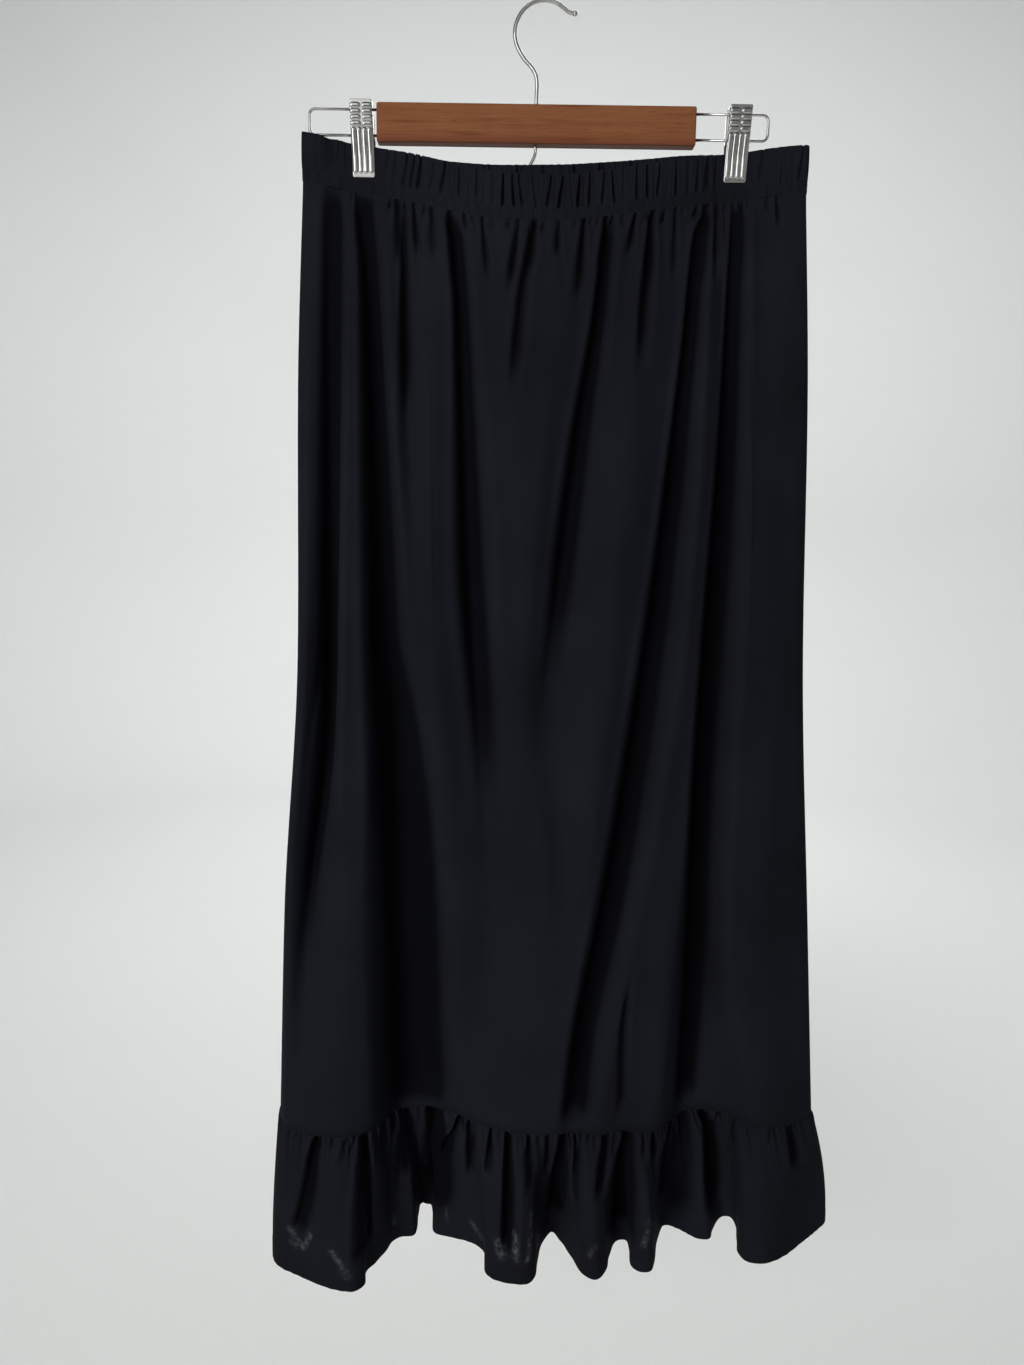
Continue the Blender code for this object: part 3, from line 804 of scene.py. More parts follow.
@dataclass(frozen=True)
class WoodFinish:
    """Red-brown stained and lacquered wood with a fine straight grain along the bar, and painted shade along its lower
    edge.
    """

    name: str = "stained_wood"
    dark: Colour = (0.070, 0.023, 0.009)
    middle: Colour = (0.144, 0.056, 0.0236)
    light: Colour = (0.173, 0.071, 0.0315)
    # The foot colour and its heights paint shade along the bar's lower edge and underside.
    foot: Colour = (0.098, 0.028, 0.017)
    foot_top: float = -95.5 * MM
    foot_end: float = -100.5 * MM
    strongest: float = 0.55
    grain_share: float = 0.8
    roughness: float = 0.36
    depth: float = 0.15 * MM

    def make(self) -> bpy.types.Material:
        """Makes the material."""
        board = Board(self.name)
        grain = board.noise(9.0, detail=6.0, roughness=0.62, distortion=0.5, stretch=(1.6, 46.0, 46.0))
        pores = board.noise(6.0, detail=3.0, stretch=(14.0, 260.0, 260.0))
        tone = board.weighed(grain, self.grain_share, board.noise(22.0))
        colour = board.shades(tone, ((0.30, self.dark), (0.46, self.middle), (0.70, self.light)))
        flecked = board.covered(colour, self.dark, board.stepped(pores, 0.60, 0.70, 0.0, self.strongest))
        # Painted shade: the colour darkens towards the foot colour along the bar's lower edge and underside.
        height = board.node("ShaderNodeSeparateXYZ", inputs={0: board.place.outputs["Object"]}).outputs[2]
        low = board.stepped(height, self.foot_top, self.foot_end, 0.0, self.strongest)
        board.join(board.covered(flecked, self.foot, low), "Base Color")
        board.join(board.figure("MULTIPLY_ADD", grain, 0.16, self.roughness), "Roughness")
        board.relief(tone, 0.25, self.depth)
        board.fix(Coat_Weight=0.02, Coat_Roughness=0.32, Specular_IOR_Level=0.05)
        return board.material


@dataclass(frozen=True)
class MetalFinish:
    """Polished or brushed metal with faint cloudiness and fine scratches."""

    name: str
    colour: Colour
    roughness: float
    scratches: float
    shadow: float = 0.82
    depth: float = 0.02 * MM

    def make(self) -> bpy.types.Material:
        """Makes the material."""
        board = Board(self.name)
        cloud = board.noise(160.0, detail=4.0)
        stops = ((0.35, dimmed(self.colour, self.shadow)), (0.65, self.colour))
        board.join(board.shades(cloud, stops), "Base Color")
        board.join(board.figure("MULTIPLY_ADD", cloud, 0.10, self.roughness), "Roughness")
        board.relief(board.noise(3.0, detail=3.0, stretch=(900.0, 900.0, 90.0)), self.scratches, self.depth)
        board.fix(Metallic=1.0)
        return board.material


@dataclass(frozen=True)
class BackdropFinish:
    """Pale matt paper."""

    name: str = "pale_paper"
    colour: Colour = (0.70, 0.71, 0.70)
    shadow: float = 0.985

    def make(self) -> bpy.types.Material:
        """Makes the material."""
        board = Board(self.name)
        stops = ((0.3, dimmed(self.colour, self.shadow)), (0.7, self.colour))
        board.join(board.shades(board.noise(1.2), stops), "Base Color")
        board.fix(Roughness=0.95, Specular_IOR_Level=0.1)
        return board.material


CHROME = MetalFinish("polished_chrome", (0.60, 0.595, 0.58), roughness=0.06, scratches=0.2)
STEEL = MetalFinish("spring_steel", (0.46, 0.46, 0.47), roughness=0.26, scratches=0.5)


@dataclass
class Finishes:
    """All materials, each made once."""

    jersey: bpy.types.Material = field(default_factory=JerseyFinish().make)
    thread: bpy.types.Material = field(default_factory=ThreadFinish().make)
    wood: bpy.types.Material = field(default_factory=WoodFinish().make)
    chrome: bpy.types.Material = field(default_factory=CHROME.make)
    steel: bpy.types.Material = field(default_factory=STEEL.make)
    paper: bpy.types.Material = field(default_factory=BackdropFinish().make)


# Meshes


def finished(name: str, bm: bmesh.types.BMesh, material: bpy.types.Material,
             closed: bool = False) -> bpy.types.Object:
    """Makes an object of a finished bmesh and reports it.

    Args:
        name: The object's name.
        bm: Its mesh, which is freed.
        material: Its finish.
        closed: Whether it is a shell whose faces are to be turned outwards first.

    Returns:
        The object, linked to the scene.
    """
    if closed:
        bmesh.ops.recalc_face_normals(bm, faces=bm.faces)
    mesh = bpy.data.meshes.new(name)
    bm.to_mesh(mesh)
    bm.free()
    mesh.materials.append(material)
    mesh.shade_smooth()
    made = bpy.data.objects.new(name, mesh)
    bpy.context.scene.collection.objects.link(made)
    LOG.info("%s: %d faces", name, len(mesh.polygons))
    return made


def sheet_mesh(points: np.ndarray, cut: np.ndarray, hollow: np.ndarray | None = None,
               sheer: np.ndarray | None = None) -> bmesh.types.BMesh:
    """Lays a grid over rows of points.

    Args:
        points: Rows of points, from the top row down, each from left to right.
        cut: Place of each point on the flat cloth, in metres, which becomes the UV map.
        hollow: How much painted shade each point gets for its depth in a fold, from 0 to 1, or None.
        sheer: How much painted light each point gets, where light shows through the thin cloth, or None.

    Returns:
        The bmesh of the open sheet.
    """
    rows, columns = points.shape[0] - 1, points.shape[1] - 1
    none = np.zeros(points.shape[:2])
    layers = {"hollow": none if hollow is None else hollow, "sheer": none if sheer is None else sheer}
    bm = bmesh.new()
    bmesh.ops.create_grid(bm, x_segments=columns, y_segments=rows, size=0.5)
    layer = bm.loops.layers.uv.new("cut")
    places, flat = points.tolist(), cut.tolist()
    bm.verts.index_update()
    spots = [(round((0.5 - v.co.y) * rows), round((v.co.x + 0.5) * columns)) for v in bm.verts]
    for vertex, (row, column) in zip(bm.verts, spots):
        vertex.co = places[row][column]
    for name, values in layers.items():
        mark, table = bm.verts.layers.float.new(name), values.tolist()
        for vertex, (row, column) in zip(bm.verts, spots):
            vertex[mark] = table[row][column]
    for face in bm.faces:
        for loop in face.loops:
            row, column = spots[loop.vert.index]
            loop[layer].uv = flat[row][column]
    return bm


def thicken(sheet: bpy.types.Object, thickness: float) -> None:
    """Gives a sheet its wall, half to each side.

    Args:
        sheet: The sheet.
        thickness: The wall's thickness.
    """
    wall = sheet.modifiers.new("wall", "SOLIDIFY")
    wall.thickness = thickness
    wall.offset = 0.0


def swept_rod(bm: bmesh.types.BMesh, path: Sequence[Vector], radius: float, sides: int) -> None:
    """Draws a round rod along a path into a bmesh, with closed ends.

    Args:
        bm: The bmesh.
        path: Points down the rod's middle.
        radius: The rod's radius.
        sides: Sides of its round section.
    """
    ahead = (path[1] - path[0]).normalized()
    start = Matrix.Translation(path[0]) @ ahead.to_track_quat("Z", "Y").to_matrix().to_4x4()
    ring = bmesh.ops.create_circle(bm, cap_ends=True, segments=sides, radius=radius, matrix=start)["verts"]
    edges = list(dict.fromkeys(edge for vertex in ring for edge in vertex.link_edges))
    for i in range(1, len(path)):
        onward = (path[min(i + 1, len(path) - 1)] - path[i - 1]).normalized()
        grown = bmesh.ops.extrude_edge_only(bm, edges=edges)["geom"]
        ring = [part for part in grown if isinstance(part, bmesh.types.BMVert)]
        edges = [part for part in grown if isinstance(part, bmesh.types.BMEdge)]
        bmesh.ops.translate(bm, verts=ring, vec=path[i] - path[i - 1])
        bmesh.ops.rotate(bm, verts=ring, cent=path[i], matrix=ahead.rotation_difference(onward).to_matrix())
        ahead = onward
    bmesh.ops.contextual_create(bm, geom=edges)


def ride_root(piece: bpy.types.Object, slot: str, *nodes: str) -> bpy.types.Object:
    """Lets a piece ride on the body.

    Args:
        piece: The piece.
        slot: The record's material slot that it takes its finish from.
        nodes: The solids that it replaces.

    Returns:
        The piece.
    """
    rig.ride(piece, "root")
    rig.slot(piece, slot)
    if nodes:
        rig.replaces(piece, *nodes)
    return piece


# Hanger


@dataclass
class Bar:
    """Wooden bar, whose solid keeps its shape and gets its finish."""

    node: str = "hanger_bar"

    def dress(self, finishes: Finishes) -> None:
        """Gives the bar's solid its wood.

        Args:
            finishes: The materials.
        """
        for slot in frame["nodes"][self.node].material_slots:
            slot.material = finishes.wood
        LOG.info("%s: dressed in %s", self.node, finishes.wood.name)


@dataclass
class Hooks:
    """Hook above the bar with its small ball, and the little hook below it; x and z of their lines."""

    upper: tuple[Pair, ...] = (
        (-4.1, -71.1), (-4.4, -53.8), (-7.5, -47.3), (-14.4, -40.0), (-19.8, -31.0),
        (-21.7, -22.8), (-20.5, -14.7), (-16.6, -7.3), (-11.3, -2.2), (-4.3, 1.0),
        (4.5, 1.4), (10.7, -0.4), (16.1, -3.9), (19.7, -6.4), (24.6, -7.6),
    )
    lower: tuple[Pair, ...] = (
        (-4.7, -103.6), (-4.2, -107.2), (-5.4, -111.8), (-8.1, -117.1), (-11.6, -124.0),
        (-10.4, -131.5), (-4.0, -135.6), (3.6, -133.0), (6.6, -126.4),
    )
    upper_foot: float = -85.2 * MM
    lower_foot: float = -95.2 * MM
    upper_radius: float = 1.6 * MM
    lower_radius: float = 1.25 * MM
    ball_radius: float = 2.2 * MM
    ball_rings: int = 14
    sides: int = 20
    steps: int = 7

    def path(self, table: tuple[Pair, ...], foot: float) -> list[Vector]:
        """Smooth path of a hook in the hanger's plane.

        Args:
            table: Its points.
            foot: Height of its end in the bar.

        Returns:
            The path from the foot to the tip.
        """
        line = flowing_curve(np.array(table) * MM, self.steps, turned=False)
        return [Vector((line[0][0], 0.0, foot)), *(Vector((x, 0.0, z)) for x, z in line)]

    def build(self, finishes: Finishes) -> None:
        """Builds both hooks.

        Args:
            finishes: The materials.
        """
        bm = bmesh.new()
        path = self.path(self.upper, self.upper_foot)
        swept_rod(bm, path, self.upper_radius, self.sides)
        bmesh.ops.create_uvsphere(bm, u_segments=self.sides, v_segments=self.ball_rings,
                                  radius=self.ball_radius, matrix=Matrix.Translation(path[-1]))
        hook = finished("hook_with_ball", bm, finishes.chrome, closed=True)
        ride_root(hook, "chrome", "hanger_hook")
        bm = bmesh.new()
        swept_rod(bm, self.path(self.lower, self.lower_foot), self.lower_radius, self.sides)
        hook = finished("small_lower_hook", bm, finishes.chrome, closed=True)
        ride_root(hook, "chrome", "lower_hook")


@dataclass
class WireFrame:
    """Bent wire beside the bar, on which a clip slides."""

    flank: Flank
    seat_x: float
    end_x: float
    high_z: float = -78.3 * MM
    low_z: float = -97.3 * MM
    corner: float = 4.5 * MM
    radius: float = 1.1 * MM
    corner_steps: int = 9
    sides: int = 16

    def build(self, finishes: Finishes) -> None:
        """Builds the wire.

        Args:
            finishes: The materials.
        """
        side = self.flank.value
        path = [Vector((self.seat_x, 0.0, self.high_z))]
        for z, start in ((self.high_z - self.corner, 90), (self.low_z + self.corner, 0)):
            for step in range(self.corner_steps):
                angle = math.radians(start - 90 * step / (self.corner_steps - 1))
                x = self.end_x - side * self.corner * (1 - math.cos(angle))
                path.append(Vector((x, 0.0, z + self.corner * math.sin(angle))))
        path.append(Vector((self.seat_x, 0.0, self.low_z)))
        bm = bmesh.new()
        swept_rod(bm, path, self.radius, self.sides)
        name = self.flank.name.lower()
        wire = finished(f"side_wire_{name}", bm, finishes.chrome, closed=True)
        ride_root(wire, "chrome", f"wire_{name}")


@dataclass
class Clip:
    """Sliding clip: two stamped plates around the wires and the cloth, and the spring between them."""

    flank: Flank
    top_x: float
    jaw_x: float
    top_z: float = -73.9 * MM
    length: float = 55 * MM
    width: float = 18 * MM
    sheet: float = 0.7 * MM
    downs: tuple[float, ...] = (0, 10, 20, 27, 34, 42, 55)
    gaps: tuple[float, ...] = (8.6, 7.6, 6.4, 5.2, 3.6, 2.65, 2.5)
    rows: int = 150
    columns: int = 60
    corner: float = 1.6 * MM
    flange_end: float = 26 * MM
    flange_reach: float = 1.4 * MM
    lip: float = 0.6 * MM
    edge: float = 0.055
    flat_share: float = 0.96
    bend_power: float = 1.5
    top_cut: float = 0.35
    pillow_height: float = 0.75 * MM
    pillow_downs: tuple[float, ...] = (0.078, 0.155, 0.232, 0.309)
    pillow_acrosses: tuple[float, ...] = (0.265, 0.745)
    pillow_half_width: float = 0.205
    pillow_half_length: float = 0.033
    rib_height: float = 0.85 * MM
    rib_acrosses: tuple[float, ...] = (0.165, 0.385, 0.605, 0.825)
    rib_half_width: float = 0.098
    rib_start: float = 0.36
    rib_end: float = 0.945
    rib_start_ease: float = 0.035
    rib_end_ease: float = 0.030
    spring_radius: float = 6.35 * MM
    spring_wire: float = 0.55 * MM
    spring_sides: int = 10
    spring_steps: int = 22
    spring_turns: int = 3
    spring_pitch: float = 3.0 * MM
    spring_z: float = -87.8 * MM

    def relief(self, across: np.ndarray, down: np.ndarray) -> np.ndarray:
        """Stamped pattern of a plate.

        Args:
            across: Shares of its width.
            down: Shares of its length.

        Returns:
            Heights in metres.
        """
        height = np.zeros_like(across)
        for row in self.pillow_downs:
            for column in self.pillow_acrosses:
                spot = 1 - np.abs((across - column) / self.pillow_half_width) ** 4
                spot = spot - ((down - row) / self.pillow_half_length) ** 2
                height = np.maximum(height, self.pillow_height * np.sqrt(np.clip(spot, 0.0, 1.0)))
        fade = np.minimum((down - self.rib_start) / self.rib_start_ease,
                          (self.rib_end - down) / self.rib_end_ease)
        for column in self.rib_acrosses:
            spot = 1 - ((across - column) / self.rib_half_width) ** 2 - np.clip(1 - fade, 0.0, 2.0) ** 2
            height = np.maximum(height, self.rib_height * np.sqrt(np.clip(spot, 0.0, 1.0)))
        return height

    def plate(self, face: Face, finishes: Finishes) -> bpy.types.Object:
        """Builds one plate.

        Args:
            face: Front or back plate.
            finishes: The materials.

        Returns:
            The plate.
        """
        down = np.linspace(0.0, 1.0, self.rows + 1)[:, None]
        across = np.linspace(0.0, 1.0, self.columns + 1)[None, :]
        down, across = np.broadcast_arrays(down, across)
        gap = steady_curve(down * self.length / MM, self.downs, self.gaps) * MM
        near_edge = np.minimum(across, 1 - across)
        from_edge = np.clip(near_edge / self.edge, 0.0, 1.0)
        tall = down * self.length < self.flange_end
        depth = np.where(tall, gap - self.flange_reach, self.lip)
        y = gap + self.sheet / 2 + self.relief(across, down) - depth * (1 - from_edge) ** self.bend_power
        from_end = np.minimum(down, 1 - down) * self.length
        cut_in = self.corner * (1 - np.sqrt(1 - (1 - np.clip(from_end / self.corner, 0.0, 1.0)) ** 2))
        half = (self.width - self.sheet) / 2 - np.where(down > 0.5, cut_in, self.top_cut * cut_in)
        outer = np.sign(across - 0.5) * (1 - from_edge * (1 - self.flat_share))
        inner = (across - 0.5) / (0.5 - self.edge) * self.flat_share
        x = self.middle(down) + half * np.where(near_edge < self.edge, outer, inner)
        z = self.top_z - self.length * down
        points = np.stack([x, face.value * y, z], axis=-1)
        bm = sheet_mesh(points, np.stack([x, z], axis=-1))
        plate = finished(f"stamped_plate_{self.flank.name}_{face.name}".lower(), bm, finishes.chrome)
        thicken(plate, self.sheet)
        return plate

    def middle(self, down: Numbers) -> Numbers:
        """The leaning clip's middle along X, at a share of its length."""
        return self.top_x + (self.jaw_x - self.top_x) * down

    def spring(self, finishes: Finishes) -> bpy.types.Object:
        """Builds the coil spring between the plates.

        Args:
            finishes: The materials.

        Returns:
            The spring.
        """
        steps = self.spring_steps * self.spring_turns
        middle = self.middle((self.top_z - self.spring_z) / self.length)
        path = []
        for step in range(steps + 1):
            angle = 2 * math.pi * self.spring_turns * step / steps
            x = middle + self.spring_pitch * self.spring_turns * (step / steps - 0.5)
            path.append(Vector((x, self.spring_radius * math.cos(angle),
                                self.spring_z + self.spring_radius * math.sin(angle))))
        bm = bmesh.new()
        swept_rod(bm, path, self.spring_wire, self.spring_sides)
        return finished(f"coil_spring_{self.flank.name}".lower(), bm, finishes.steel, closed=True)

    def build(self, finishes: Finishes) -> None:
        """Builds the whole clip.

        Args:
            finishes: The materials.
        """
        name = f"clip_{self.flank.name}".lower()
        for face in Face:
            ride_root(self.plate(face, finishes), "chrome", f"{name}_{face.name}".lower())
        ride_root(self.spring(finishes), "steel", f"{name}_spring")


# Cloth


@dataclass(frozen=True)
class EdgeRow:
    """One place on the waistband's lower edge: x, then height and depth of its front and back."""

    x: float
    front_z: float
    front_y: float
    back_z: float
    back_y: float


@dataclass(frozen=True)
class BandEdge:
    """Lower edge of the waistband all round, flat where the clips hold it."""

    rows: tuple[EdgeRow, ...] = (
        EdgeRow(-186.8, -127, 0.05, -127, -0.05), EdgeRow(-186.3, -127.2, -2.3, -127.2, 2.3),
        EdgeRow(-182, -128, -3.3, -128, 3.3), EdgeRow(-160, -133, -3.2, -133, 3.2),
        EdgeRow(-151, -134.8, -1.3, -134.8, 1.3), EdgeRow(-145, -135.6, -1.1, -135.5, 1.1),
        EdgeRow(-138.8, -136.4, -1.1, -136.2, 1.1), EdgeRow(-132, -137.2, -1.1, -136.9, 1.1),
        EdgeRow(-127, -138.2, -1.6, -137.6, 1.2), EdgeRow(-118, -140.4, -5, -139.2, 1),
        EdgeRow(-100, -144.8, -11, -142.6, -1), EdgeRow(-70, -152, -16, -148, -3.2),
        EdgeRow(-30, -158.6, -20.4, -150.4, -5), EdgeRow(12, -159.6, -21.6, -149.8, -5.6),
        EdgeRow(54, -155.4, -19.4, -147, -4.6), EdgeRow(84, -150.2, -15.6, -144, -3.2),
        EdgeRow(112, -145.2, -9.6, -140.6, -1), EdgeRow(131, -141.6, -4.6, -139.2, 1),
        EdgeRow(140, -139.9, -1.6, -138.9, 1.2), EdgeRow(146, -138.9, -1.1, -138.5, 1.1),
        EdgeRow(152.6, -138.2, -1.1, -138, 1.1), EdgeRow(159, -137.5, -1.1, -137.5, 1.1),
        EdgeRow(165, -136.8, -1.3, -136.8, 1.3), EdgeRow(174, -135.6, -3, -135.6, 3),
        EdgeRow(205, -132.2, -3.2, -132.2, 3.2), EdgeRow(208.9, -132, -2.3, -132, 2.3),
        EdgeRow(209.4, -132, 0.05, -132, -0.05),
    )
    jaws: tuple[float, ...] = (-138.8, 152.6)
    jaw_half: float = 11.0
    jaw_ease: float = 9.0

    def line(self, face: Face, fractions: np.ndarray) -> np.ndarray:
        """Flat points of the edge.

        Args:
            face: Front or back half.
            fractions: Shares of its length.

        Returns:
            One point for each share, as x and y.
        """
        return spread(flowing_curve(self.flat(face) * MM), fractions)

    def flat(self, face: Face) -> np.ndarray:
        """The table's points as x and y, in millimetres."""
        return np.array([(row.x, row.front_y if face is Face.FRONT else row.back_y) for row in self.rows])

    def height(self, face: Face, x: np.ndarray) -> np.ndarray:
        """Height of the edge at each x, in metres."""
        heights = [row.front_z if face is Face.FRONT else row.back_z for row in self.rows]
        return steady_curve(x / MM, [row.x for row in self.rows], heights) * MM

    def level(self, face: Face, x: float) -> float:
        """Height of the edge at one x, both in millimetres."""
        return float(self.height(face, x * MM)) / MM

    def room(self, x: np.ndarray) -> np.ndarray:
        """Distance between front and back at each x, in metres."""
        places = [row.x for row in self.rows]
        return steady_curve(x / MM, places, [row.back_y - row.front_y for row in self.rows]) * MM

    def free_of_jaws(self, x: np.ndarray) -> np.ndarray:
        """Finds where no clip presses the band.

        Args:
            x: Places across, in metres.

        Returns:
            0 under a clip, rising to 1 beside it.
        """
        share = np.ones_like(x)
        for jaw in self.jaws:
            share = np.minimum(share, eased((np.abs(x / MM - jaw) - self.jaw_half) / self.jaw_ease))
        return share


@dataclass(frozen=True)
class Fold:
    """Ridge or trough of the body: its x at five levels, and its y at the four below the waistband."""

    x: tuple[float, float, float, float, float]
    y: tuple[float, float, float, float]


@dataclass(frozen=True)
class Folds:
    """All folds of the body, front and back, from the waistband to the ruffle's seam."""

    edge: BandEdge
    levels: tuple[float, ...] = (0.0, 0.20, 0.48, 0.77, 1.0)
    measured_levels: tuple[float, ...] = (0.1, 0.5, 0.9)
    least_steps: int = 3
    side_gap: float = -0.05
    front: tuple[Fold, ...] = (
        Fold((-186.8, -194.4, -199.4, -213.4, -220), (3, 7, 11, 15)),
        Fold((-185.6, -192.5, -197.6, -212.4, -217), (-3, -2, -10, -22)),
        Fold((-177, -184, -190, -205, -207), (-8, -12, -26, -43)),
        Fold((-163, -165.5, -171, -189, -194), (4, 9, -19, -51)),
        Fold((-150, -152, -156, -157, -163), (-18, -31, -45, -57)),
        Fold((-144, -144, -141, -140, -135), (-18, -29, -40, -48)),
        Fold((-137, -128, -121, -114, -114), (-8, -11, -11, -13)),
        Fold((-121, -115, -102, -96, -98), (-19, -29, -17, -8)),
        Fold((-106, -104, -92, -84, -82), (-14, -32, -32, -9)),
        Fold((-88, -84, -80, -68, -60), (-23, -35, -42, -20)),
        Fold((-66, -59, -48, -34, -38), (-17, -25, -40, -35)),
        Fold((-39, -36, -26, -10, -14), (-27, -37, -46, -46)),
        Fold((19, 6, -6, 12, 6), (-28, -38, -47, -49)),
        Fold((50, 37, 14, 30, 20), (-18, -28, -46, -49)),
        Fold((76, 72, 62, 46, 30), (-27, -40, -46, -48)),
        Fold((122, 117, 98, 64, 42), (-12, -20, -33, -45)),
        Fold((134, 131, 121, 84, 62), (-18, -33, -43, -48)),
        Fold((139, 137, 128, 104, 84), (-18, -33, -43, -42)),
        Fold((143, 142, 135, 124, 114), (-16, -28, -40, -42)),
        Fold((149, 151, 146, 142, 144), (-6, -8, -9, -9)),
        Fold((154, 156, 153, 153, 174), (-8, -11, -11, -10)),
        Fold((161, 167, 170, 173, 206), (-18, -30, -34, -34)),
        Fold((186, 194, 203, 214, 238), (-15, -22, -25, -26)),
        Fold((208.2, 218.6, 227.6, 244, 257.6), (-4, -5, -8, -10)),
        Fold((209.4, 220.4, 229.4, 246.4, 260.5), (3, 5, 6, 4)),
    )
    back: tuple[Fold, ...] = (
        Fold((-186.8, -194.4, -199.4, -213.4, -220), (3, 7, 11, 15)),
        Fold((-185.8, -192.6, -197, -210, -215), (7, 15, 23, 28)),
        Fold((-165, -170, -176, -188, -194), (9.5, 20, 31, 38)),
        Fold((-132, -136, -142, -150, -154), (8, 17, 25, 29)),
        Fold((-100, -104, -108, -112, -116), (9, 22, 32, 38)),
        Fold((-66, -68, -72, -74, -74), (7, 17, 25, 30)),
        Fold((-24, -26, -28, -32, -36), (8.5, 22, 33, 39)),
        Fold((14, 14, 12, 10, 8), (7, 17, 26, 31)),
        Fold((52, 54, 56, 58, 58), (9, 22, 32, 38)),
        Fold((92, 96, 100, 102, 104), (7, 17, 25, 28)),
        Fold((128, 134, 140, 146, 150), (9, 21, 31, 36)),
        Fold((164, 172, 180, 188, 194), (8.5, 18, 26, 29)),
        Fold((207.6, 216.6, 224.6, 238, 250), (7, 14, 21, 24)),
        Fold((209.4, 220.4, 229.4, 246.4, 260.5), (3, 5, 6, 4)),
    )

    def points(self, face: Face, level: float) -> np.ndarray:
        """Ridges and troughs at one level.

        Args:
            face: Front or back half.
            level: 0 at the waistband, 1 at the ruffle's seam.

        Returns:
            Flat points as x and y, in metres.
        """
        folds = self.front if face is Face.FRONT else self.back
        band = self.edge.flat(face)
        found = []
        for fold in folds:
            at_side = fold in (folds[0], folds[-1])
            x = steady_curve(level, self.levels, fold.x)
            top = 0.0 if at_side else float(steady_curve(fold.x[0], band[:, 0], band[:, 1]))
            y = steady_curve(level, self.levels, (top, *fold.y))
            found.append((float(x), float(y) + face.value * self.side_gap * at_side))
        return np.array(found) * MM

    def steps(self, face: Face, columns: int) -> list[int]:
        """Shares out a number of columns between the folds by their length.

        Args:
            face: Front or back half.
            columns: How many columns there are in all, about.

        Returns:
            Steps for each span between two folds.
        """
        sections = [self.points(face, level) for level in self.measured_levels]
        spans = sum(np.linalg.norm(np.diff(section, axis=0), axis=1) for section in sections)
        return [max(self.least_steps, round(columns * span / spans.sum())) for span in spans]


